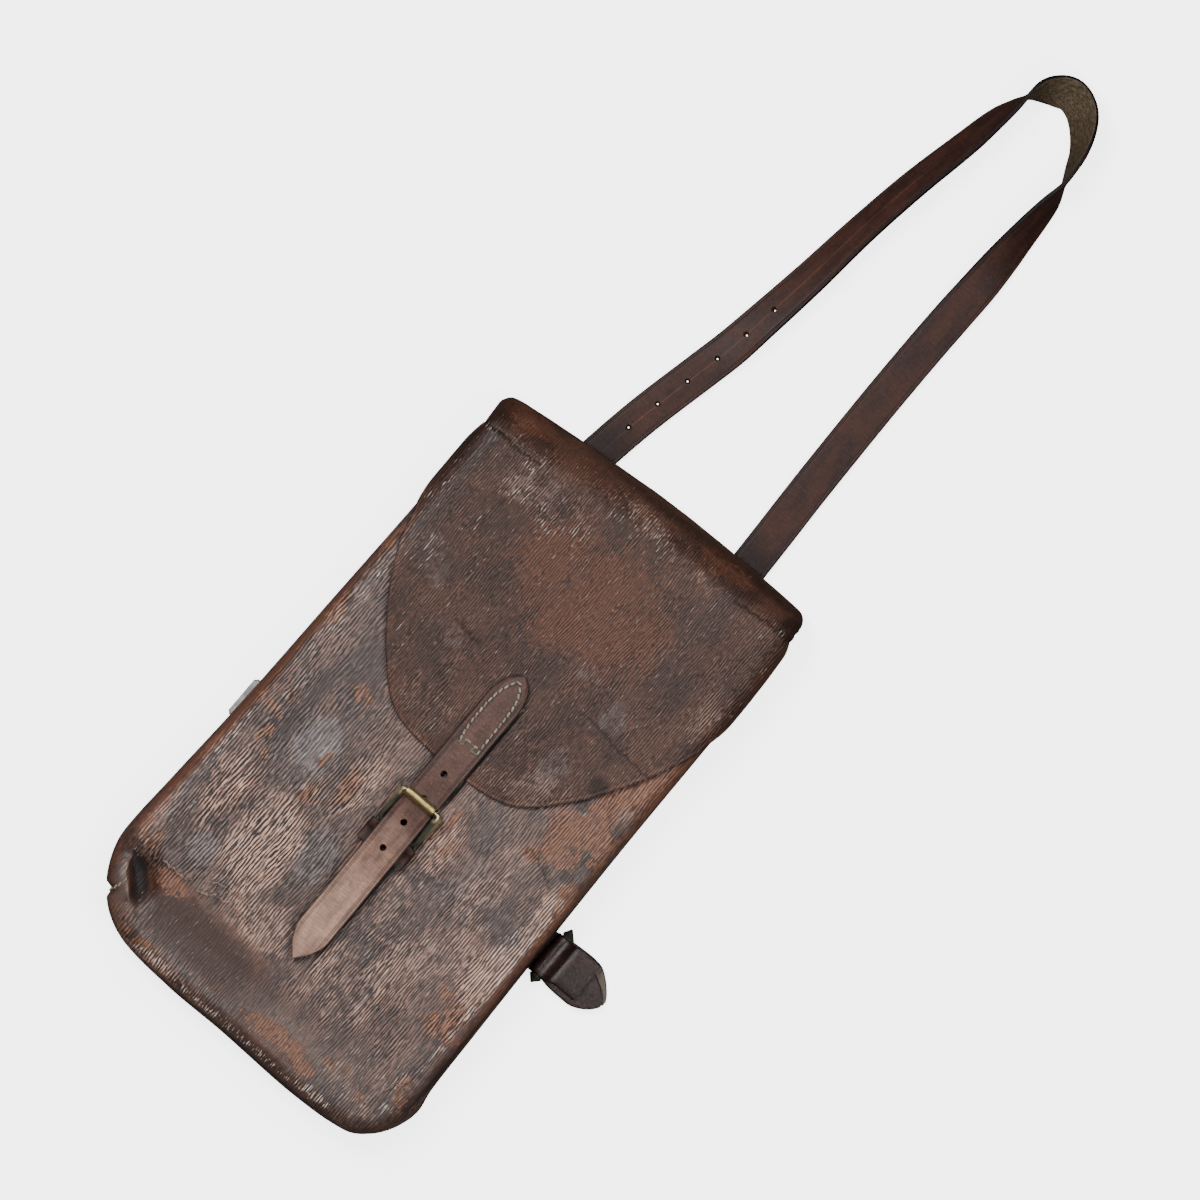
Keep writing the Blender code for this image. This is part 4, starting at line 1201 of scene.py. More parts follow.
def frame_path():
    """Points round the buckle frame and the wire's radius at each."""
    corners = (
        (FRONT_HALF_WIDTH, FRONT_BAR_PLACE, 0.0, RIGHT_RADII[0], FRONT_BAR_RADIUS),
        (-FRONT_HALF_WIDTH, FRONT_BAR_PLACE, 90.0, FRONT_BAR_RADIUS, LEFT_RADII[0]),
        (-HEEL_HALF_WIDTH, HEEL_PLACE, 180.0, LEFT_RADII[1], HEEL_RADIUS),
        (HEEL_HALF_WIDTH, HEEL_PLACE, 270.0, HEEL_RADIUS, RIGHT_RADII[1]),
    )
    path, radii = [], []
    for number, (x, y, start, first, second) in enumerate(corners):
        centre_x = BUCKLE_CENTRE + x - math.copysign(BUCKLE_CORNER, x)
        centre_y = y - BUCKLE_CORNER if number < 2 else y + BUCKLE_CORNER
        for share in evenly(CORNER_STEPS):
            angle = math.radians(start + 90 * share)
            place_y = centre_y + BUCKLE_CORNER * math.sin(angle)
            place_x = centre_x + BUCKLE_CORNER * math.cos(angle)
            path.append(Vector((place_x, place_y, buckle_height(place_y))))
            radii.append(first + (second - first) * share)
    path.append(path[0].copy())
    radii.append(radii[0])
    return path, radii


def prong_path():
    """Points of the prong: its curl on the heel bar, its shank and its tip under the strap."""
    heel = Vector((BUCKLE_CENTRE, HEEL_PLACE, buckle_height(HEEL_PLACE)))
    curl = HEEL_RADIUS + FIT_GAP + PRONG_RADIUS + 0.0002
    path = []
    for angle in evenly(24, math.radians(70), math.radians(270)):
        path.append(heel + Vector((0, math.cos(angle), math.sin(angle))) * curl)
    shank = heel.z - curl
    shank_end = PRONG_TIP - 0.0040
    for share in (0.25, 0.6, 1.0):
        path.append(Vector((BUCKLE_CENTRE, HEEL_PLACE + (shank_end - HEEL_PLACE) * share, shank)))
    radii = [PRONG_RADIUS] * len(path)
    path.append(Vector((BUCKLE_CENTRE, PRONG_TIP - 0.0014, shank + 0.0008)))
    path.append(Vector((BUCKLE_CENTRE, PRONG_TIP - 0.0002, shank + 0.0026)))
    return path, radii + [PRONG_RADIUS, PRONG_TIP_RADIUS]


wires = wire_tree()
path, radii = frame_path()
buckle_frame = run_tree("buckle_wire", path, wires, {"Sides": 28}, radii)
path, radii = prong_path()
buckle_prong = run_tree("prong_wire", path, wires, {"Sides": 20}, radii)

# %% [markdown]
# The roller is a turned tube. A cylinder would need its bore and its eased ends cut afterwards,
# so its whole profile is spun round the front bar instead, with the wear of the strap as a
# slight waist in its middle.
# %% Roller
ROLLER_RADIUS = 0.0031
ROLLER_BORE = 0.0015
ROLLER_CENTRE = 0.0024
ROLLER_LENGTH = 0.0204
ROLLER_WAIST = 0.00012


def roller():
    """The roller: a tube with eased ends, spun round the front bar."""
    half, ease = ROLLER_LENGTH / 2, 0.0004
    rounded = (half - ease * 0.3, ROLLER_RADIUS - ease * 0.3)
    end = [(half, ROLLER_BORE), (half, ROLLER_RADIUS - ease), rounded]
    profile = [(-x, radius) for x, radius in end]
    for share in evenly(14, -1.0, 1.0):
        profile.append(((half - ease) * share, ROLLER_RADIUS - ROLLER_WAIST * (1 - share ** 2)))
    profile += end[::-1]
    centre = Vector((ROLLER_CENTRE, FRONT_BAR_PLACE, buckle_height(FRONT_BAR_PLACE)))
    mesh = bmesh.new()
    line = [mesh.verts.new(centre + Vector((x, 0, radius))) for x, radius in profile]
    edges = [mesh.edges.new((a, b)) for a, b in zip(line, line[1:] + line[:1])]
    turn = {"cent": centre, "axis": (1, 0, 0), "angle": 2 * math.pi}
    bmesh.ops.spin(mesh, geom=line + edges, steps=48, use_merge=True, **turn)
    bmesh.ops.remove_doubles(mesh, verts=mesh.verts, dist=0.00002)
    bmesh.ops.recalc_face_normals(mesh, faces=mesh.faces)
    return settle(add_piece("roller_tube", mesh), 35)


buckle_roller = roller()

# %% [markdown]
# The chape is the short leather that holds the buckle. It is folded round the heel bar, and both
# its layers are sewn to the case. It is swept like the straps, and the slot for the prong is cut
# with one Boolean, which is simpler than a sweep with a gap in it.
# %% Chape
CHAPE_LEATHER = 0.0018
CHAPE_END = -0.0140
CHAPE_HALF_WIDTH = 0.0164
CHAPE_NECK = 0.0106
CHAPE_LINES = ((-0.0016, 0.00015), (0.0016, 0.00015))
SLOT_SIZE = (0.0038, 0.0110, 0.0130)


def chape_half_width(point):
    """The chape is wide on the front of the case and narrow where it turns round the heel bar."""
    return CHAPE_HALF_WIDTH + (CHAPE_NECK - CHAPE_HALF_WIDTH) * smooth_step(0.0000, 0.0016, point.y)


def chape():
    """The chape: two layers with the heel bar in their fold, and a slot for the prong."""
    heel_z = buckle_height(HEEL_PLACE)
    turn = HEEL_RADIUS + FIT_GAP + CHAPE_LEATHER / 2
    floor = front_height(BUCKLE_CENTRE + CHAPE_HALF_WIDTH, CHAPE_END) + FIT_GAP * 2 + CHAPE_LEATHER / 2
    upper = floor + CHAPE_LEATHER + FIT_GAP
    path = [(CHAPE_END, floor), (-0.0100, floor), (-0.0048, floor), (-0.0018, floor + 0.0001)]
    for angle in evenly(8, math.radians(-90), math.radians(110)):
        path.append((HEEL_PLACE + turn * math.cos(angle), heel_z + turn * math.sin(angle)))
    path += [(-0.0022, heel_z + 0.0016), (-0.0050, upper + 0.0008), (-0.0080, upper), (CHAPE_END, upper)]
    points = [Vector((BUCKLE_CENTRE, y, z)) for y, z in along(path, evenly(110))]
    stations = stations_on(points, chape_half_width, Vector((-1, 0, 0)))
    piece = sweep_strap("chape_leather", stations, CHAPE_LEATHER, CHAPE_LINES)
    slot = bmesh.new()
    bmesh.ops.create_cube(slot, size=1.0)
    bmesh.ops.scale(slot, verts=slot.verts, vec=SLOT_SIZE)
    bmesh.ops.translate(slot, verts=slot.verts, vec=(BUCKLE_CENTRE, HEEL_PLACE, heel_z))
    cutter = add_piece("slot", slot)
    opening = piece.modifiers.new("slot", "BOOLEAN")
    opening.object = cutter
    opening.solver = "EXACT"
    settle(piece)
    bpy.data.objects.remove(cutter)
    return piece


buckle_chape = chape()

# %% [markdown]
# ## Stitches
# A saddle stitch is a short thick thread that rises from one hole and goes down the next. Each
# row is a path on the leather. A tree of Geometry Nodes sets one stitch at every pitch, turned
# to follow the path and slanted a little, as waxed thread lies.
# %% Stitch rows by Geometry Nodes
STITCH_SEED = 11
UNEVEN_TURN = 0.10


def calculate(tree, operation, first, second):
    """A Math node on two values, each a number or an output."""
    made = put(tree, "ShaderNodeMath", {"operation": operation})
    for socket, value in zip(made.inputs, (first, second)):
        if isinstance(value, bpy.types.NodeSocket):
            tree.links.new(value, socket)
        else:
            socket.default_value = value
    return made.outputs[0]


def stitch_tree():
    """Path in, a row of stitches out."""
    words = ("Pitch", "Length", "Thread", "Rise", "Slant")
    inputs = [(word, "NodeSocketFloat") for word in words]
    inputs += [("Up", "NodeSocketVector"), ("Material", "NodeSocketMaterial")]
    tree, start, end = new_tree("stitches", inputs)
    take = start.outputs
    curve = put(tree, "GeometryNodeMeshToCurve", Mesh=take["Mesh"])
    spaced = put(
        tree,
        "GeometryNodeResampleCurve",
        {"mode": "LENGTH"},
        Curve=curve.outputs["Curve"],
        Length=take["Pitch"],
    )
    points = put(tree, "GeometryNodeCurveToPoints", {"mode": "EVALUATED"}, Curve=spaced.outputs["Curve"])
    ahead = calculate(tree, "MULTIPLY", take["Length"], 0.5)
    behind = calculate(tree, "MULTIPLY", take["Length"], -0.5)
    low = calculate(tree, "MULTIPLY", take["Thread"], -1.0)
    first = put(tree, "ShaderNodeCombineXYZ", X=behind, Z=low)
    middle = put(tree, "ShaderNodeCombineXYZ", Z=take["Rise"])
    last = put(tree, "ShaderNodeCombineXYZ", X=ahead, Z=low)
    arc = put(
        tree,
        "GeometryNodeCurveQuadraticBezier",
        Resolution=7,
        Start=first.outputs[0],
        Middle=middle.outputs[0],
        End=last.outputs[0],
    )
    circle = put(tree, "GeometryNodeCurvePrimitiveCircle", Resolution=8, Radius=take["Thread"])
    thread = put(
        tree,
        "GeometryNodeCurveToMesh",
        Curve=arc.outputs["Curve"],
        Profile_Curve=circle.outputs["Curve"],
        Fill_Caps=True,
    )
    run = put(tree, "FunctionNodeAlignRotationToVector", {"axis": "X"}, Vector=points.outputs["Tangent"])
    stand = put(
        tree,
        "FunctionNodeAlignRotationToVector",
        {"axis": "Z", "pivot_axis": "X"},
        Rotation=run.outputs["Rotation"],
        Vector=take["Up"],
    )
    uneven = put(tree, "FunctionNodeRandomValue", {"data_type": "FLOAT"}, Seed=STITCH_SEED)
    uneven.inputs[2].default_value = -UNEVEN_TURN
    uneven.inputs[3].default_value = UNEVEN_TURN
    angle = calculate(tree, "ADD", take["Slant"], uneven.outputs[1])
    slant = put(tree, "FunctionNodeAxisAngleToRotation", Axis=(0, 0, 1), Angle=angle)
    turned = put(
        tree,
        "FunctionNodeRotateRotation",
        {"rotation_space": "LOCAL"},
        Rotation=stand.outputs["Rotation"],
        Rotate_By=slant.outputs["Rotation"],
    )
    row = put(
        tree,
        "GeometryNodeInstanceOnPoints",
        Points=points.outputs["Points"],
        Instance=thread.outputs["Mesh"],
        Rotation=turned.outputs["Rotation"],
    )
    realized = put(tree, "GeometryNodeRealizeInstances", Geometry=row.outputs["Instances"])
    coloured = put(
        tree,
        "GeometryNodeSetMaterial",
        Geometry=realized.outputs["Geometry"],
        Material=take["Material"],
    )
    tree.links.new(coloured.outputs["Geometry"], end.inputs["Mesh"])
    return tree


# %% Stitch rows
HEAD_ROW = (
    (-3.2, 67.5),
    (-4.4, 74.0),
    (-4.9, 84.0),
    (-4.8, 94.0),
    (-4.0, 101.0),
    (-1.6, 108.4),
    (1.6, 113.2),
    (5.4, 109.4),
    (8.2, 102.5),
    (9.1, 94.0),
    (9.4, 84.0),
    (9.7, 74.0),
    (9.9, 67.5),
)
CROSS_ROW = ((6.2, 68.9), (1.2, 68.9))
KNOT_ROWS = (
    ((-3.0, 65.4), (-0.4, 65.2)),
    ((6.4, 65.4), (9.4, 65.8)),
    ((-0.3, 68.0), (0.0, 66.2)),
    ((6.3, 68.0), (6.0, 66.2)),
)
DART_ROW = ((-97.4, -120.9), (-98.2, -124.0), (-99.2, -127.2), (-100.6, -130.4))
SEAM_INSET = 0.0045


# %% Rows laid on the leather
def lay_on(piece, row, cells, lift):
    """Points along a row of millimetres, dropped on the top of a piece."""
    path = []
    for x, y in along([(px * MM, py * MM) for px, py in row], evenly(cells)):
        found, place, _, _ = piece.ray_cast(Vector((x, y, 0.2)), Vector((0, 0, -1)))
        path.append(Vector((x, y, place.z + lift)) if found else Vector((x, y, path[-1].z)))
    return path


def seam_path():
    """Line of the seam under the back panel, where the front's foot is sewn to it."""
    outline = case_outline(MOUTH_LEFT, MOUTH_RIGHT, 0.0, 0.0)
    fractions = evenly(360)
    places = along(outline, fractions)
    normals = inward_normals(outline, fractions)
    level = BACK_INSIDE - BACK_LEATHER
    inside = [Vector(place) + normal * SEAM_INSET for place, normal in zip(places, normals)]
    return [Vector((x, y, level)) for x, y in inside]


def stitch_values(pitch, length, thread, rise, slant, up=1):
    """Values for the tree's inputs, the sizes in millimetres."""
    sizes = {"Pitch": pitch * MM, "Length": length * MM, "Thread": thread * MM, "Rise": rise * MM}
    return {**sizes, "Slant": slant, "Up": (0, 0, up)}


stitches = stitch_tree()
head_stitches = run_tree(
    "head_stitches",
    lay_on(closure_strap, HEAD_ROW, 90, 0.0),
    stitches,
    stitch_values(3.85, 2.9, 0.62, 1.6, 0.15),
)
cross_stitches = run_tree(
    "cross_stitches",
    lay_on(closure_strap, CROSS_ROW, 12, 0.0),
    stitches,
    stitch_values(3.2, 3.0, 0.62, 1.6, 0.05),
)
knots = []
for number, row in enumerate(KNOT_ROWS):
    values = stitch_values(1.5, 2.1, 0.70, 1.4, 0.35)
    knots.append(run_tree(f"knot_{number + 1}", lay_on(closure_strap, row, 6, 0.0), stitches, values))
dart_stitches = run_tree(
    "dart_stitches",
    lay_on(case_front, DART_ROW, 20, 0.0),
    stitches,
    stitch_values(3.0, 3.2, 0.55, 1.3, 0.35),
)
seam_stitches = run_tree(
    "seam_stitches",
    seam_path(),
    stitches,
    stitch_values(4.2, 3.4, 0.35, 0.2, 0.2, up=-1),
)

# %% [markdown]
# ## Writing materials as sums
# A finish is arithmetic on a few patterns. The small class below wraps an output of a shader
# node, so that such a sum can be written as one and its nodes are added in passing.
# %% Field
class Field:
    """A value that varies over a surface: one output of a shader node."""

    def __init__(self, finish, socket):
        self.finish = finish
        self.socket = socket

    def __add__(self, other):
        return self.finish.math("ADD", self, other)

    def __radd__(self, other):
        return self.finish.math("ADD", other, self)

    def __sub__(self, other):
        return self.finish.math("SUBTRACT", self, other)

    def __rsub__(self, other):
        return self.finish.math("SUBTRACT", other, self)

    def __mul__(self, other):
        return self.finish.math("MULTIPLY", self, other)

    def __rmul__(self, other):
        return self.finish.math("MULTIPLY", other, self)

    def __truediv__(self, other):
        return self.finish.math("DIVIDE", self, other)


# %% A material in the making
class Finish:
    """A material being built."""

    def __init__(self, name):
        self.material = bpy.data.materials.new(name)
        self.material.use_nodes = True
        self.tree = self.material.node_tree
        self.tree.nodes.clear()

    def node(self, kind, settings=None, sockets=None, output=0):
        """Adds a node with its settings first, then its sockets, and returns one of its outputs."""
        made = self.tree.nodes.new(kind)
        for key, value in (settings or {}).items():
            setattr(made, key, value)
        for key, value in (sockets or {}).items():
            if isinstance(value, Field):
                self.tree.links.new(value.socket, made.inputs[key])
            else:
                made.inputs[key].default_value = value
        return Field(self, made.outputs[output]) if made.outputs else made

    def math(self, operation, first, second):
        """A Math node on two values, each a number or a field."""
        return self.node("ShaderNodeMath", {"operation": operation}, {0: first, 1: second})

    def mark(self, name):
        """A number kept on the piece's points."""
        return self.node("ShaderNodeAttribute", {"attribute_name": name}, output="Fac")

    def places(self):
        """The piece's own places, in millimetres."""
        place = self.node("ShaderNodeTexCoord", output="Object")
        return self.stretch(place, (1000.0, 1000.0, 1000.0))

    def strap_places(self):
        """Places across and along a strap in millimetres, and through it as a share."""
        across, along = self.mark("across") * 1000.0, self.mark("along") * 1000.0
        return self.node("ShaderNodeCombineXYZ", {}, {"X": across, "Y": along, "Z": self.mark("skin")})

    def vector(self, operation, first, second, output=0):
        """A Vector Math node on two places, or on a place and a factor."""
        sockets = {0: first, "Scale" if operation == "SCALE" else 1: second}
        return self.node("ShaderNodeVectorMath", {"operation": operation}, sockets, output)

    def near_line(self, where, points):
        """Distance in millimetres from a place to a line through points across and up."""
        nearest = 1000.0
        for start, end in zip(points, points[1:]):
            run = (end[0] - start[0], end[1] - start[1], 0.0)
            unit = tuple(part / math.hypot(*run) ** 2 for part in run)
            offset = self.vector("SUBTRACT", where, (*start, 0.0))
            share = self.vector("DOT_PRODUCT", offset, unit, "Value")
            foot = self.vector("SCALE", run, self.node("ShaderNodeClamp", {}, {"Value": share}))
            away = self.vector("DISTANCE", offset, foot, "Value")
            nearest = self.math("MINIMUM", away, nearest)
        return nearest

    def stretch(self, where, scale):
        """Places made larger or smaller along each axis."""
        return self.vector("MULTIPLY", where, scale)

    def shift(self, where, x, y):
        """Places moved across and up by fields, and flattened."""
        step = self.node("ShaderNodeCombineXYZ", {}, {"X": x, "Y": y})
        return self.stretch(self.vector("ADD", where, step), (1.0, 1.0, 0.0))

    def cloud(self, where, size, detail=2.0, rough=0.5, seed=0.0):
        """Soft noise whose lumps have a size in millimetres: one number, or one for each axis."""
        sizes = size if isinstance(size, tuple) else (size, size, size)
        scaled = self.stretch(where, tuple(1.0 / value for value in sizes))
        moved = self.vector("ADD", scaled, (seed, seed * 1.7, seed * 0.3))
        sockets = {"Vector": moved, "Scale": 1.0, "Detail": detail, "Roughness": rough}
        return self.node("ShaderNodeTexNoise", {}, sockets)

    def rise(self, value, low, high):
        """0 where the value is below low, 1 above high, smooth between."""
        sockets = {"Value": value, "From Min": low, "From Max": high}
        return self.node("ShaderNodeMapRange", {"interpolation_type": "SMOOTHSTEP"}, sockets)

    def mix(self, share, first, second):
        """A colour between two others."""
        colours = [c if isinstance(c, Field) else (*c, 1.0) for c in (first, second)]
        sockets = {0: share, 6: colours[0], 7: colours[1]}
        return self.node("ShaderNodeMix", {"data_type": "RGBA"}, sockets, output=2)

    def shade(self, colour, factor):
        """A colour made darker or lighter by a factor."""
        return self.vector("SCALE", colour, factor)

    def bump(self, height):
        """Normals of a height in millimetres."""
        return self.node("ShaderNodeBump", {}, {"Height": height, "Distance": MM, "Strength": 1.0})

    def finish(self, colour, roughness, normal=None, metallic=0.0, **fixed):
        """Ends the material in one Principled shader."""
        base = colour if isinstance(colour, Field) else (*colour, 1.0)
        sockets = {"Base Color": base, "Roughness": roughness, "Metallic": metallic}
        if normal:
            sockets["Normal"] = normal
        for key, value in fixed.items():
            sockets[key.replace("_", " ")] = value
        shader = self.node("ShaderNodeBsdfPrincipled", {}, sockets, output="BSDF")
        self.node("ShaderNodeOutputMaterial", {}, {"Surface": shader})
        return self.material


# %% [markdown]
# ## Wear and painted light on the case
# The leather's colour tells its history: the dark top layer has flaked off in crisp patches of
# orange brown, ridges have been rubbed to a pale tan, and folds hold dirt. Painted light lies in
# the same tables: patches of painted sheen, painted glints, painted highlights on the right rim and
# the hollow's crest, painted shade in the hollow and the closure strap's painted shadow. Each kind
# is a short table of patches, read off the case in millimetres. Painting them by hand would be
# closer still, but a table can be corrected by a row. The patches' soft edges are kept as
# numbers on the mesh, and noise in the material breaks them into flakes.
# %% Wear and painted light of the front
# Patches: middle across, middle up, half width, half height, turn in degrees, strength
FRONT_WEAR_AND_LIGHT = {
    "flaked": (
        (103, 137, 6, 12, -12, 0.9),
        (97, 112, 10, 20, -25, 0.95),
        (107, 105, 3, 40, 0, 0.62),
        (86, 92, 8, 10, -30, 0.85),
        (92, 74, 15, 13, 0, 0.84),
        (78, 66, 14, 11, 0, 0.80),
        (84, 54, 15, 11, 20, 0.80),
        (71, 43, 8, 4, -10, 0.9),
        (103, 62, 6, 7, 0, 0.8),
        (103, 34, 6, 12, 10, 0.85),
        (107, 10, 3, 14, 0, 0.7),
        (85, -50, 5, 4, 0, 0.85),
        (100, -57, 8, 8, 0, 0.88),
        (95, -69, 12, 7, 0, 0.84),
        (104, -112, 6, 14, 20, 0.7),
        (86, -128, 4, 3, 0, 0.8),
        (50, -136, 9, 5, -10, 0.85),
        (28, -132, 24, 7, 4, 0.80),
        (60, -125, 5, 3, 0, 0.8),
        (71, -122, 3, 2, 0, 0.8),
        (-108, 127, 3, 12, 0, 0.9),
        (-105, 76, 5, 15, 0, 0.75),
        (-100, 11, 12, 4, -12, 0.85),
        (-92, 23, 7, 4, 10, 0.75),
        (-91, -3, 5, 7, 0, 0.8),
        (-84, -14, 4, 5, 0, 0.75),
        (-110, -30, 3, 12, 0, 0.85),
        (-108, -88, 4, 9, 0, 0.8),
        (-100, -92, 4, 8, 0, 0.7),
        (-63, 49, 9, 6, 0, 0.84),
        (-55, 7, 3, 8, 0, 0.85),
        (-34, 3, 6, 14, 0, 0.80),
        (-48, -14, 8, 6, 20, 0.84),
        (-76, -104, 12, 7, 0, 0.82),
        (24, 30, 5, 9, 0, 0.62),
        (33, 12, 4, 10, 0, 0.66),
        (20, -6, 3, 8, 0, 0.62),
        (-75, -143, 26, 4, 8, 0.66),
    ),
    # Rubbed tan wear on the ridges; the row along the right rim at 103.6 and the thin row on the
    # hollow's crest are painted highlights
    "worn_and_highlight": (
        (-48, -55, 23, 34, 12, 0.95),
        (-90, -42, 14, 26, 8, 0.8),
        (-20, -88, 30, 17, 0, 0.75),
        (-30, 10, 16, 22, 0, 0.5),
        (28, -5, 12, 50, 0, 0.65),
        (40, -70, 30, 40, 0, 0.55),
        (66, -25, 22, 60, 0, 0.50),
        (100, 20, 7, 30, 0, 0.8),
        (96, -25, 9, 25, 0, 0.75),
        (-108, -70, 4, 60, 0, 0.5),
        (-98, -118, 11, 1.5, -47, 0.8),
        (-62, -146, 40, 4, 5, 0.75),
        (60, -143, 25, 4, 0, 0.45),
        (96, -132, 8, 6, 0, 0.6),
        (103.6, -30, 2.4, 80, 0, 0.8),
        (101, 108, 7, 22, -12, 0.45),
    ),
    # Darker patches: stains and dirt, and painted shade: the rows in the hollow beside the lower left
    # corner are painted shade, and the narrow rows at 15 mm across are the closure strap's painted
    # shadow
    "dark": (
        (-84, 20, 7, 45, 0, 0.75),
        (-93, -80, 9, 14, 0, 0.7),
        (75, 84, 6, 5, 0, 0.95),
        (99, 81, 8, 9, 0, 0.75),
        (99, 60, 6, 8, 0, 0.95),
        (96, 46, 10, 5, -10, 0.8),
        (64, 60, 20, 12, 0, 0.5),
        (112, 40, 2, 90, 0, 0.9),
        (113, -70, 2, 50, 0, 0.7),
        (-99, -105.5, 8, 2.6, -8, 1.15),
        (-94, -112, 11, 4.6, -42, 1.7),
        (-88, -119, 9, 5.5, -62, 1.7),
        (-84.5, -123, 5, 6, -50, 1.2),
        (-42, -120, 62, 19, 0, 1.0),
        (24, -139, 70, 12, 0, 0.75),
        (0, -153, 120, 3, 0, 0.6),
        (15.2, -38, 1.2, 62, 0, 1.6),
        (15.0, 40, 1.2, 12, 0, 1.7),
        (100, -122, 6, 6, 0, 0.8),
        (62, -108, 26, 12, 0, 0.55),
        (60, -40, 22, 40, 0, 0.4),
        (-30, -112, 16, 5, 0, 0.5),
        (75, -20, 12, 60, 0, 0.30),
    ),
    "warm": (
        (-30, -118, 40, 20, 0, 1.1),
        (-70, -116, 26, 20, 0, 1.0),
        (95, 110, 14, 40, -15, 0.8),
        (106, -40, 6, 90, 0, 0.6),
        (-110, -20, 5, 120, 0, 0.8),
        (96, -60, 14, 24, 0, 0.6),
        (-87, -44, 15, 24, 0, 0.8),
        (-52, -22, 10, 8, 0, 0.8),
        (-36, 8, 7, 11, 0, 0.8),
        (-104, 25, 6, 14, 0, 0.8),
        (34, 12, 18, 26, 0, 0.7),
        (27, -137, 30, 10, 0, 0.9),
        (62, -66, 14, 20, 0, 0.5),
        (80, 60, 24, 26, 0, 0.5),
    ),
    # Painted sheen: grey-blue patches standing for the glossy face's reflection of the light
    "painted_sheen": (
        (-63, 10, 16, 21, 0, 0.9),
        (-23, -40, 15, 20, 0, 0.75),
        (-75, -77, 11, 12, 0, 0.75),
        (-62, -60, 8, 14, 0, 0.5),
        (-104, -60, 5, 20, 0, 0.6),
        (48, 5, 20, 24, 0, 0.5),
        (60, 62, 14, 8, 0, 0.4),
    ),
    # Painted glints: pale strokes standing for highlights on the ridges and along the rims
    "glint": (
        (-105, -22, 4, 28, 0, 0.95),
        (-103, 80, 8, 40, 0, 0.5),
        (-93, 25, 5, 20, 0, 0.6),
        (-100, -75, 12, 20, 0, 0.35),
        (-104, -98, 4, 7, 0, 0.7),
        (-55, -12, 3, 5, 0, 0.6),
        (-46, -17, 5, 7, 0, 0.6),
        (-5, -20, 2.5, 5, 0, 0.9),
        (100, 28, 4, 8, 0, 1.0),
        (96, -12, 7, 22, 0, 0.9),
        (-58, -145, 14, 3, 4, 1.6),
        (0, -146.5, 60, 2.2, 0, 1.2),
        (64, -144, 16, 3, 0, 1.4),
        (103.6, -30, 1.8, 70, 0, 1.3),
        (98, -110, 4, 22, 12, 0.8),
        (80, -122, 20, 18, 0, 0.5),
        (-60, -20, 26, 60, 0, 0.35),
        (50, -60, 26, 30, 0, 0.40),
        (-25, -45, 12, 18, 0, 0.3),
    ),
}
print("wear of the front:", {word: len(rows) for word, rows in FRONT_WEAR_AND_LIGHT.items()})

# %% Wear and painted light of the flap
FLAP_WEAR_AND_LIGHT = {
    "flaked": (
        (-93, 230, 10, 5, 10, 0.55),
        (58, 244, 14, 4, 0, 0.5),
    ),
    "worn_and_highlight": (
        (-15, 228, 26, 10, 0, 0.40),
        (-55, 202, 28, 13, 20, 0.35),
        (45, 70, 22, 16, 30, 0.5),
        (28, 90, 12, 30, 0, 0.35),
        (98, 175, 9, 50, 0, 0.4),
        (-30, 70, 22, 16, -20, 0.4),
        (-75, 140, 10, 20, 0, 0.3),
        (55, 228, 22, 9, 5, 0.4),
    ),
    # Darker patches: stains and dirt; the narrow row at 14.4 across is the closure strap's painted
    # shadow
    "dark": (
        (-104, 205, 10, 34, 0, 0.70),
        (-100, 160, 9, 24, 0, 0.6),
        (-72, 140, 9, 13, 0, 0.5),
        (75, 97, 7, 7, -35, 0.9),
        (-88, 240, 26, 5, 8, 0.4),
        (30, 245, 80, 4, 2, 0.5),
        (101, 236, 8, 8, 0, 0.8),
        (96, 200, 10, 30, 0, 0.55),
        (60, 150, 10, 18, 0, 0.3),
        (-20, 60, 30, 8, -6, 0.5),
        (50, 66, 24, 8, 32, 0.5),
        (-62, 90, 16, 16, 0, 0.4),
        (14.4, 76, 1.1, 32, 0, 1.6),
    ),
    "warm": (
        (0, 175, 56, 42, 0, 0.9),
        (50, 240, 22, 7, 0, 0.7),
        (-90, 232, 18, 8, 0, 0.75),
        (50, 112, 20, 8, 0, 0.6),
        (66, 138, 12, 6, 0, 0.5),
    ),
    # Painted sheen: grey-blue patches standing for the glossy face's reflection of the light
    "painted_sheen": (
        (57, 131, 9, 13, 0, 0.66),
        (48, 86, 10, 17, 0, 0.62),
        (-82, 136, 20, 12, -24, 0.56),
        (-62, 205, 22, 12, 15, 0.5),
        (10, 228, 26, 8, 0, 0.4),
        (20, 142, 20, 8, 0, 0.4),
        (-103, 212, 7, 6, 0, 0.6),
        (-98, 150, 8, 22, 0, 0.55),
        (-48, 108, 16, 8, 0, 0.5),
    ),
    # Painted glints: pale strokes standing for highlights on the ridges and the flap's edges
    "glint": (
        (-5, 230, 22, 9, 0, 0.6),
        (-72, 199, 9, 11, 0, 0.62),
        (-44, 197, 10, 12, 0, 0.6),
        (-78, 166, 4, 8, 0, 0.5),
        (-75, 216, 7, 7, 0, 0.65),
        (-107, 214.5, 7, 1.6, 0, 1.0),
        (98, 232.5, 5, 2, 5, 1.0),
        (-28, 205, 10, 8, 30, 0.5),
        (-107, 165, 5, 34, 8, 0.4),
        (-94, 140, 10, 14, 30, 0.45),
        (106, 190, 5, 34, 0, 0.35),
    ),
}
print("wear of the flap:", {word: len(rows) for word, rows in FLAP_WEAR_AND_LIGHT.items()})


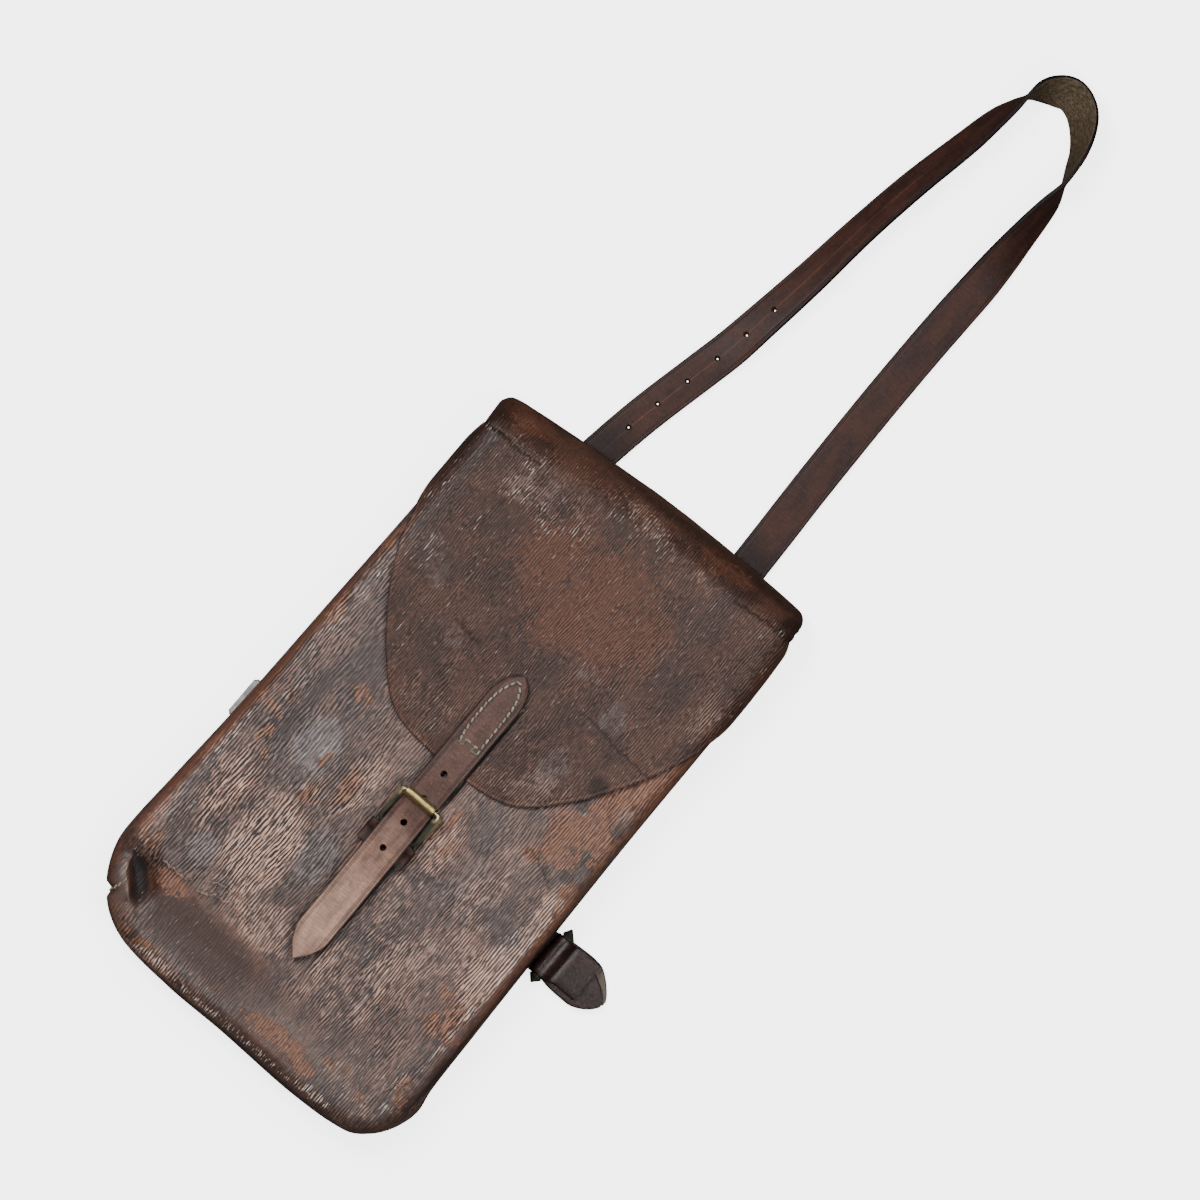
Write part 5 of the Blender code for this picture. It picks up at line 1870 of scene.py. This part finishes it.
# %% Wear and painted light kept on the meshes
def keep_wear_and_light(piece, tables, ridges, calm):
    """Keeps each kind of wear and painted light on the piece's points, with the counts and strength of
    its ridges.
    """
    x, y, _ = points_of(piece).T
    for word, table in tables.items():
        add_values(piece, word, patch_strength(table, x, y))
    add_values(piece, "wrinkled", patch_strength(WRINKLED, x, y))
    add_values(piece, "calm", patch_strength(calm, x, y))
    turns = [ridge_turns(px, py, ridges) for px, py in zip(x, y)]
    add_values(piece, "first_ridges", [first for first, _ in turns])
    add_values(piece, "second_ridges", [second for _, second in turns])
    add_values(piece, "turned", [1 - abs(vertex.normal.z) for vertex in piece.data.vertices])


keep_wear_and_light(case_front, FRONT_WEAR_AND_LIGHT, FRONT_RIDGES, CALM)
keep_wear_and_light(flap, FLAP_WEAR_AND_LIGHT, FLAP_RIDGES, ())

# %% [markdown]
# ## The case's leather
# Wet-moulded cowhide that has been waxed dark. One finish serves the front and the flap, with
# their own colours. The wrinkles come from the two counts kept on the mesh, each turned into a
# wave and broken up by noise. Their height bends the light and also sets the colour: valleys are
# painted darker as painted shade and ridge tops lighter as painted light. Creases are drawn as
# lines with painted shade beside them. Patches of painted sheen, painted glints, and painted shade
# and shadow in the darkest patches lie over the wear. An image texture would be quicker, but it
# would fix the grain at one size.
# %% Leather of the case
GLINT = (0.54, 0.46, 0.41)


def case_leather(name, creases, reach, tints, contrast, gleam):
    """Wrinkled leather in six tints. Reach is how long a ridge runs before it breaks off."""
    dark, brown, warm, painted_sheen, worn_and_highlight, flaked = tints
    f = Finish(name)
    place = f.places()
    # Patterns: soft and mottled patches, the two sets of ridges, and the fibres between them
    soft = f.cloud(place, (24.0, 34.0, 24.0), 3.0, 0.5, seed=1.0) - 0.5
    mottle = f.cloud(place, (3.4, 5.5, 3.4), 4.0, 0.6, seed=17.0) - 0.5
    grain = f.cloud(place, 0.55, 2.0, 0.6, seed=5.0)
    wobble = f.cloud(place, (2.6, 6.0, 3.0), 1.0, seed=3.0) - 0.5
    first = f.math("SINE", (f.mark("first_ridges") + wobble * 0.5) * math.tau, 0.0)
    second = f.math("SINE", (f.mark("second_ridges") + wobble * 0.4) * math.tau, 0.0)
    breaks = f.cloud(place, (1.0, reach, 2.0), 2.0, 0.5, seed=9.0) - 0.5
    turned = f.rise(f.mark("turned"), 0.14, 0.62)
    patchy = f.rise(f.cloud(place, (10.0, 17.0, 10.0), 2.0, 0.5, seed=41.0), 0.36, 0.62)
    loose = (1.0 - turned) * (1.0 - f.mark("calm") * 0.85) * (0.6 + patchy * 0.4)
    strength = f.mark("wrinkled") * loose
    ridge = f.rise(first * 0.58 + second * 0.38 + breaks * 2.9, -0.50, 0.66)
    fibre = f.cloud(place, (0.42, 1.10, 0.60), 3.0, 0.65, seed=51.0) - 0.5

    # Colours: each kind of wear and painted light over the one before, then painted light and shade on
    # the ridges
    colour = f.mix(f.rise(soft * 1.3 + mottle * 0.9, -0.30, 0.30), dark, brown)
    reddish = f.rise(f.mark("warm") + turned * 0.5 + soft * 0.9 + mottle * 1.4, 0.35, 0.95)
    colour = f.mix(reddish, colour, warm)
    # Painted sheen: grey-blue where the glossy face reflects the light
    painted_sheen_share = f.rise(f.mark("painted_sheen") + soft * 0.9 + mottle * 1.5, 0.30, 1.00)
    colour = f.mix(painted_sheen_share * 0.85, colour, painted_sheen)
    # Rubbed tan on the ridges, and painted highlight where its table marks the right rim and the
    # hollow's crest
    rubbed = f.rise(f.mark("worn_and_highlight") + soft * 1.5 + mottle * 1.2, 0.30, 0.90) * (1.0 - turned * 0.5)
    colour = f.mix(rubbed * (0.15 + ridge * 0.85), colour, worn_and_highlight)
    # Stains and dirt, with painted shade: the rounded edges that turn away are darkened by turned
    stain_and_shade = f.rise(f.mark("dark") + turned * 0.30 + soft * 1.0 + mottle * 1.3, 0.32, 0.95)
    colour = f.shade(colour, 1.0 - stain_and_shade * 0.62)
    # Painted shade in the hollow and painted shadow beside the closure strap: the strongest dark patches
    deep_shade = f.rise(f.mark("dark"), 0.75, 1.6)
    colour = f.shade(colour, 1.0 - deep_shade * 0.80)
    chip = f.cloud(place, (3.6, 4.6, 3.6), 5.0, 0.68, seed=27.0) - 0.5
    flake = f.rise(f.mark("flaked") + chip * 2.6 + soft * 0.4, 0.56, 0.61)
    colour = f.mix(flake * (0.65 + ridge * 0.35), colour, flaked)
    # Painted shade in the ridges' valleys and painted light on their tops, stronger where the leather is
    # loose
    depth = (loose * 0.55 + strength * 0.35) * (1.0 - painted_sheen_share * 0.40) * contrast
    colour = f.shade(colour, 1.0 + (ridge - 0.52) * depth * 2.0 + fibre * 1.2)
    # Painted glints: pale strokes along the ridge tops, thicker where the glint table marks them
    strokes = f.cloud(place, (0.55, 6.5, 2.0), 2.0, 0.5, seed=33.0) + f.mark("glint") * 0.12
    streak = f.rise(strokes, 0.64, 0.74) * f.rise(ridge, 0.35, 0.75) * (1.0 - turned)
    colour = f.mix(streak * (0.36 + f.mark("glint") * 0.6), colour, GLINT)
    # Painted shadow along the flap's edge and painted shade in its tooled groove
    colour = f.shade(colour, 1.0 - f.mark("tooled") * 0.75)

    # Height in millimetres, and the creases
    height = ridge * (loose * 0.09 + strength * 0.09) * contrast + grain * 0.03 - flake * 0.05
    height = height + mottle * 0.10 + fibre * 0.09
    wavering = f.shift(place, wobble * 3.0, mottle * 7.0)
    for half_width, rise, points in creases:
        away = f.near_line(wavering, points)
        line = f.rise(away, half_width * 0.60, half_width * 0.10) * f.rise(breaks, -0.16, 0.06)
        # Painted shade beside each crease, and on raised creases a painted highlight in the worn tint
        colour = f.shade(colour, 1.0 - f.rise(away, half_width * 1.8, half_width * 0.4) * 0.42)
        if rise > 0:
            colour = f.mix(line * 0.75, colour, worn_and_highlight)
        height = height + line * rise * 0.5
    roughness = 0.36 + soft * 0.12 + flake * 0.16 + (1.0 - ridge) * 0.20 + painted_sheen_share * 0.08 + deep_shade * 0.30
    return f.finish(colour, roughness - streak * 0.1, f.bump(height), Specular_IOR_Level=gleam)


# %% [markdown]
# ## The straps' leather
# Belt leather is dense and smooth, with fine pores and small cross folds. Its pattern is laid out
# by each point's own place across and along the strap, which an unwrapped image would need a UV
# map for. The pressed lines are drawn darker, and dirt with painted shade lies beside the
# stitches. The closure strap is painted paler towards its tail, as painted light on its lower
# end, and the long strap shows its rough flesh side where it leans over. Near the case its legs
# are darker, as the fold's painted shadow with some grime.
# %% Leather of the straps
FLESH_DARK = (0.024, 0.016, 0.010)
FLESH_PALE = (0.098, 0.070, 0.043)
STITCH_REACH = 7.1


def strap_leather(name, tints, gloss, gleam, lines=(), tail=None, place_by="strap", sewn=False):
    """Belt leather. Tints: its colour, the same in shade, the same where it is rubbed."""
    colour, shade, rubbed = tints
    f = Finish(name)
    place = f.places() if place_by == "object" else f.strap_places()
    across = f.mark("across") * 1000.0
    along = f.mark("along") * 1000.0
    grain = f.cloud(place, (0.9, 1.8, 1.0), 3.0, 0.6, seed=2.0)
    pores = f.rise(f.cloud(place, (0.35, 0.45, 1.0), 1.0, 0.5, seed=8.0), 0.55, 0.8)
    cloudy = f.cloud(place, (7.0, 22.0, 2.0), 4.0, 0.55, seed=4.0)
    fold = f.cloud(place, (5.0, 0.55, 2.0), 3.0, 0.6, seed=14.0)
    edge = f.rise(f.mark("inset") * 1000.0, 1.5, 0.1)
    # The closure strap is painted paler towards its tail, as painted light on its lower end; the back
    # strap's end is painted pale grey
    if tail:
        tint, start, end = tail
        blend = f.rise(along + (cloudy - 0.5) * 0.55 * abs(end - start), start, end)
        colour = f.mix(blend, colour, tint)
        shade = f.shade(colour, 0.62)
    mixed = f.mix(f.rise(cloudy, 0.34, 0.66), shade, colour)
    mixed = f.mix(f.rise(grain, 0.48, 0.75) * 0.35, mixed, rubbed)
    mixed = f.shade(mixed, (1.0 - edge * 0.85) * (1.0 - pores * 0.3))
    mixed = f.shade(mixed, 1.18 - f.rise(fold, 0.36, 0.68) * 0.36)
    # Darker along the pressed lines
    for middle in lines:
        near = f.math("ABSOLUTE", across - middle, 0.0)
        mixed = f.shade(mixed, 1.0 - f.rise(0.55 - near, 0.0, 0.45) * 0.5)
    # Dirt and painted shade around the stitches of the head
    if sewn:
        reach = STITCH_REACH - STITCH_REACH * f.math("POWER", math.e, (4.3 - along) / 6.0)
        near = f.math("ABSOLUTE", f.math("ABSOLUTE", across, 0.0) - reach, 0.0)
        dirt = f.rise(1.45 - near + (grain - 0.5) * 0.8, 0.0, 0.9) * f.rise(along, 3.0, 4.0)
        mixed = f.shade(mixed, 1.0 - dirt * f.rise(along, 53.0, 51.0) * 0.62)
    if place_by == "legs":
        nap = f.cloud(place, (1.0, 2.6, 1.0), 5.0, 0.8, seed=61.0)
        flesh = f.mix(f.rise(nap, 0.36, 0.68), FLESH_DARK, FLESH_PALE)
        mixed = f.mix(f.rise(f.mark("skin"), -0.40, -0.49), mixed, flesh)
        near = f.math("ABSOLUTE", across - 0.4, 0.0)
        scratch = f.rise(0.42 - near, 0.0, 0.25) * f.rise(350.0 - along, 0.0, 20.0)
        mixed = f.shade(mixed, 1.0 + scratch * 1.1)
        # Painted shadow of the case's fold, with some grime: the legs darker near the case
        low = f.node("ShaderNodeSeparateXYZ", {}, {0: f.places()}, output="Y")
        mixed = f.shade(mixed, 1.0 - f.rise(274.0 - low, 0.0, 22.0) * 0.6)
    height = grain * 0.07 - pores * 0.05 + fold * 0.12
    roughness = gloss + (cloudy - 0.5) * 0.22 + edge * 0.10
    return f.finish(mixed, roughness, f.bump(height), Specular_IOR_Level=gleam)


# %% Flesh side of the case's leather
def flesh_side(name, colour, dark):
    """The inner side of leather: a short rough nap with darker streaks."""
    f = Finish(name)
    place = f.places()
    nap = f.cloud(place, 0.5, 4.0, 0.7)
    cloudy = f.cloud(place, (9.0, 14.0, 9.0), 4.0, 0.6, seed=6.0)
    mixed = f.mix(f.rise(cloudy, 0.3, 0.7), dark, colour)
    mixed = f.mix(nap * 0.4, mixed, tuple(1.5 * c for c in colour))
    return f.finish(mixed, 0.88, f.bump(nap * 0.22))


# %% [markdown]
# ## Metal and thread
# The roller is polished by the strap that runs under it. The frame has gone dark and green
# except at its corners. The thread is waxed linen, pale where it is rubbed. A single colour
# would make each look new, so clouds of noise on the piece's own places lay tarnish and dirt.
# %% Metal and thread finishes
def polished_brass(name):
    """Bare brass with brown tarnish in clouds."""
    f = Finish(name)
    place = f.places()
    rub = f.cloud(place, (0.25, 3.0, 3.0), 2.0, 0.6)
    tarnish = f.cloud(place, 2.4, 4.0, 0.65, seed=4.0)
    colour = f.mix(f.rise(tarnish, 0.42, 0.74), (0.54, 0.41, 0.18), (0.24, 0.18, 0.075))
    return f.finish(colour, 0.22 + tarnish * 0.22 + rub * 0.12, f.bump(rub * 0.02), 1.0)


def aged_brass(name):
    """Dark green brass, bare at the buckle's front corners and rubbed brown at its sides."""
    f = Finish(name)
    place = f.places()
    patina = f.cloud(place, 2.0, 4.0, 0.65, seed=2.0)
    crust = f.cloud(place, 0.7, 4.0, 0.7, seed=12.0)
    across = f.node("ShaderNodeSeparateXYZ", {}, {0: place}, output="X")
    height = f.node("ShaderNodeSeparateXYZ", {}, {0: place}, output="Y")
    outward = f.math("ABSOLUTE", across - BUCKLE_CENTRE / MM, 0.0)
    shine = f.rise(height, 18.5, 23.0) * f.rise(14.5 - outward + (patina - 0.5) * 3.0, 0.0, 2.0)
    rubbed = f.rise(outward + (crust - 0.5) * 2.0, 13.7, 15.6) * f.rise(40.0 - outward, 0.0, 10.0)
    colour = f.mix(f.rise(patina, 0.38, 0.62), (0.036, 0.030, 0.018), (0.024, 0.029, 0.020))
    colour = f.mix(rubbed * 0.8, colour, (0.20, 0.13, 0.075))
    colour = f.mix(shine * 0.85, colour, (0.46, 0.38, 0.20))
    bare = f.rise(patina - shine * 0.3, 0.25, 0.5)
    return f.finish(colour, 0.58 - shine * 0.26 + crust * 0.2, f.bump(crust * 0.10), 1.0 - bare * 0.55)


def waxed_thread(name, pale, dark):
    """Twisted linen, pale with dirt in clouds."""
    f = Finish(name)
    place = f.places()
    fibre = f.cloud(place, (0.22, 0.5, 0.5), 2.0, 0.6)
    dirt = f.cloud(place, 3.0, 3.0, 0.6, seed=3.0)
    colour = f.mix(f.rise(dirt, 0.35, 0.7), pale, dark)
    return f.finish(f.mix(fibre * 0.5, colour, dark), 0.7, f.bump(fibre * 0.08))


def plain_metal(name):
    """Plain steel with fine scratches."""
    f = Finish(name)
    scratch = f.cloud(f.places(), (0.3, 4.0, 4.0), 2.0, 0.6)
    return f.finish((0.34, 0.33, 0.31), 0.32 + scratch * 0.25, f.bump(scratch * 0.02), 1.0)


# %% [markdown]
# ## Dressing the pieces
# Every piece gets its finish and rides on the one body of the case, and the solids that it
# stands for are hidden. The side bar, the hidden buckle and its chape keep their solids, whose
# shape is right, and only get a finish.
# %% Finishes
flesh = flesh_side("flesh_side", (0.105, 0.062, 0.040), (0.055, 0.032, 0.022))
# Case leather's tints: dark, brown, warm, painted_sheen, worn_and_highlight, flaked
FINISHES = {
    "front": case_leather(
        "front_leather",
        CREASES[1:],
        4.6,
        (
            (0.042, 0.025, 0.021),
            (0.124, 0.070, 0.053),
            (0.105, 0.044, 0.028),
            (0.126, 0.105, 0.103),
            (0.290, 0.168, 0.124),
            (0.150, 0.068, 0.040),
        ),
        contrast=1.15,
        gleam=0.38,
    ),
    "flap": case_leather(
        "flap_leather",
        FLAP_CREASES,
        2.6,
        (
            (0.034, 0.018, 0.014),
            (0.068, 0.033, 0.023),
            (0.076, 0.032, 0.020),
            (0.088, 0.070, 0.067),
            (0.165, 0.100, 0.076),
            (0.110, 0.046, 0.028),
        ),
        contrast=0.82,
        gleam=0.18,
    ),
    "strap": strap_leather(
        "strap_leather",
        ((0.078, 0.036, 0.026), (0.050, 0.023, 0.018), (0.190, 0.105, 0.080)),
        gloss=0.50,
        gleam=0.28,
        lines=(-9.0, -7.9, 7.9, 9.0),
        tail=((0.350, 0.205, 0.152), 98.0, 170.0),
        sewn=True,
    ),
    "shoulder": strap_leather(
        "shoulder_leather",
        ((0.038, 0.0140, 0.0095), (0.020, 0.0085, 0.0068), (0.058, 0.026, 0.018)),
        gloss=0.50,
        gleam=0.18,
        lines=(-9.0, 9.0),
        place_by="legs",
    ),
    "dark": strap_leather(
        "dark_leather",
        ((0.026, 0.0118, 0.0100), (0.013, 0.0072, 0.0066), (0.052, 0.028, 0.024)),
        gloss=0.26,
        gleam=0.24,
    ),
    "plain": strap_leather(
        "plain_dark_leather",
        ((0.060, 0.026, 0.020), (0.022, 0.012, 0.011), (0.090, 0.050, 0.040)),
        gloss=0.55,
        gleam=0.25,
        place_by="object",
    ),
    "tab": strap_leather(
        "tab_leather",
        ((0.090, 0.066, 0.048), (0.052, 0.036, 0.028), (0.150, 0.110, 0.085)),
        gloss=0.50,
        gleam=0.30,
        tail=((0.42, 0.40, 0.38), 4.6, 3.2),
    ),
    "roller": polished_brass("roller_brass"),
    "brass": aged_brass("aged_brass"),
    "steel": plain_metal("plain_steel"),
    "thread": waxed_thread("pale_thread", (0.42, 0.37, 0.28), (0.10, 0.085, 0.065)),
    "waxed": waxed_thread("waxed_thread", (0.17, 0.15, 0.105), (0.050, 0.043, 0.031)),
}
print("finishes:", sorted(FINISHES))

# %% Finishes on the pieces
# Piece, its finish, the record's slot, the solids that it stands for
DRESS = (
    (case_front, "front", "front_leather", ("front_shell",)),
    (flap, "flap", "flap_leather", ("back_and_flap",)),
    (closure_strap, "strap", "strap_leather", ("closure_strap",)),
    (shoulder_strap, "shoulder", "shoulder_leather", ("shoulder_strap",)),
    (back_strap, "tab", "dark_leather", ("back_strap",)),
    (side_tab, "dark", "dark_leather", ("side_tab",)),
    (buckle_chape, "plain", "dark_leather", ("buckle_chape",)),
    (buckle_frame, "brass", "aged_brass", ("buckle_frame",)),
    (buckle_prong, "brass", "aged_brass", ("buckle_prong",)),
    (buckle_roller, "roller", "roller_brass", ("buckle_roller",)),
    (head_stitches, "thread", "strap_leather", ()),
    (cross_stitches, "thread", "strap_leather", ()),
    *((knot, "waxed", "strap_leather", ()) for knot in knots),
    (dart_stitches, "thread", "front_leather", ()),
    (seam_stitches, "thread", "flap_leather", ()),
)
for piece, finish, slot, solids in DRESS:
    piece.data.materials.clear()
    piece.data.materials.append(FINISHES[finish])
    if piece in (case_front, flap):
        piece.data.materials.append(flesh)
    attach(piece, "root")
    if solids:
        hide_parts(*solids)
KEPT_SOLIDS = {"side_bar": "brass", "back_buckle": "steel", "back_buckle_chape": "plain"}
for node, finish in KEPT_SOLIDS.items():
    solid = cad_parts[node]
    solid.data.materials.clear()
    solid.data.materials.append(FINISHES[finish])
print("dressed:", len(DRESS), "pieces made here and", len(KEPT_SOLIDS), "kept solids")

# %% [markdown]
# ## The floor
# A plain pale surface. It glows, so that it comes out near white as in the photograph without
# more light on the leather, and it is hidden from the rays that would carry its glow back to
# the case.
# %% Floor
FLOOR_HALF = 4.0
FLOOR_GLOW = 3.4

floor_data = bpy.data.meshes.new("floor")
level = cad_box[0].z - FIT_GAP
corners = [(x * FLOOR_HALF, y * FLOOR_HALF, level) for x, y in ((-1, -1), (1, -1), (1, 1), (-1, 1))]
floor_data.from_pydata(corners, [], [(0, 1, 2, 3)])
floor = bpy.data.objects.new("floor", floor_data)
floor.visible_diffuse = False
floor.visible_glossy = False
scene.collection.objects.link(floor)
pale = Finish("pale_floor")
unevenness = pale.cloud(pale.places(), 220.0, 2.0, 0.5)
tone = pale.mix(unevenness, (0.86, 0.86, 0.86), (0.90, 0.90, 0.90))
glow = {"Emission_Color": (1, 1, 1, 1), "Emission_Strength": FLOOR_GLOW}
floor_data.materials.append(pale.finish(tone, 0.8, **glow))
print("floor:", 2 * FLOOR_HALF, "m wide, just under the lowest solid")
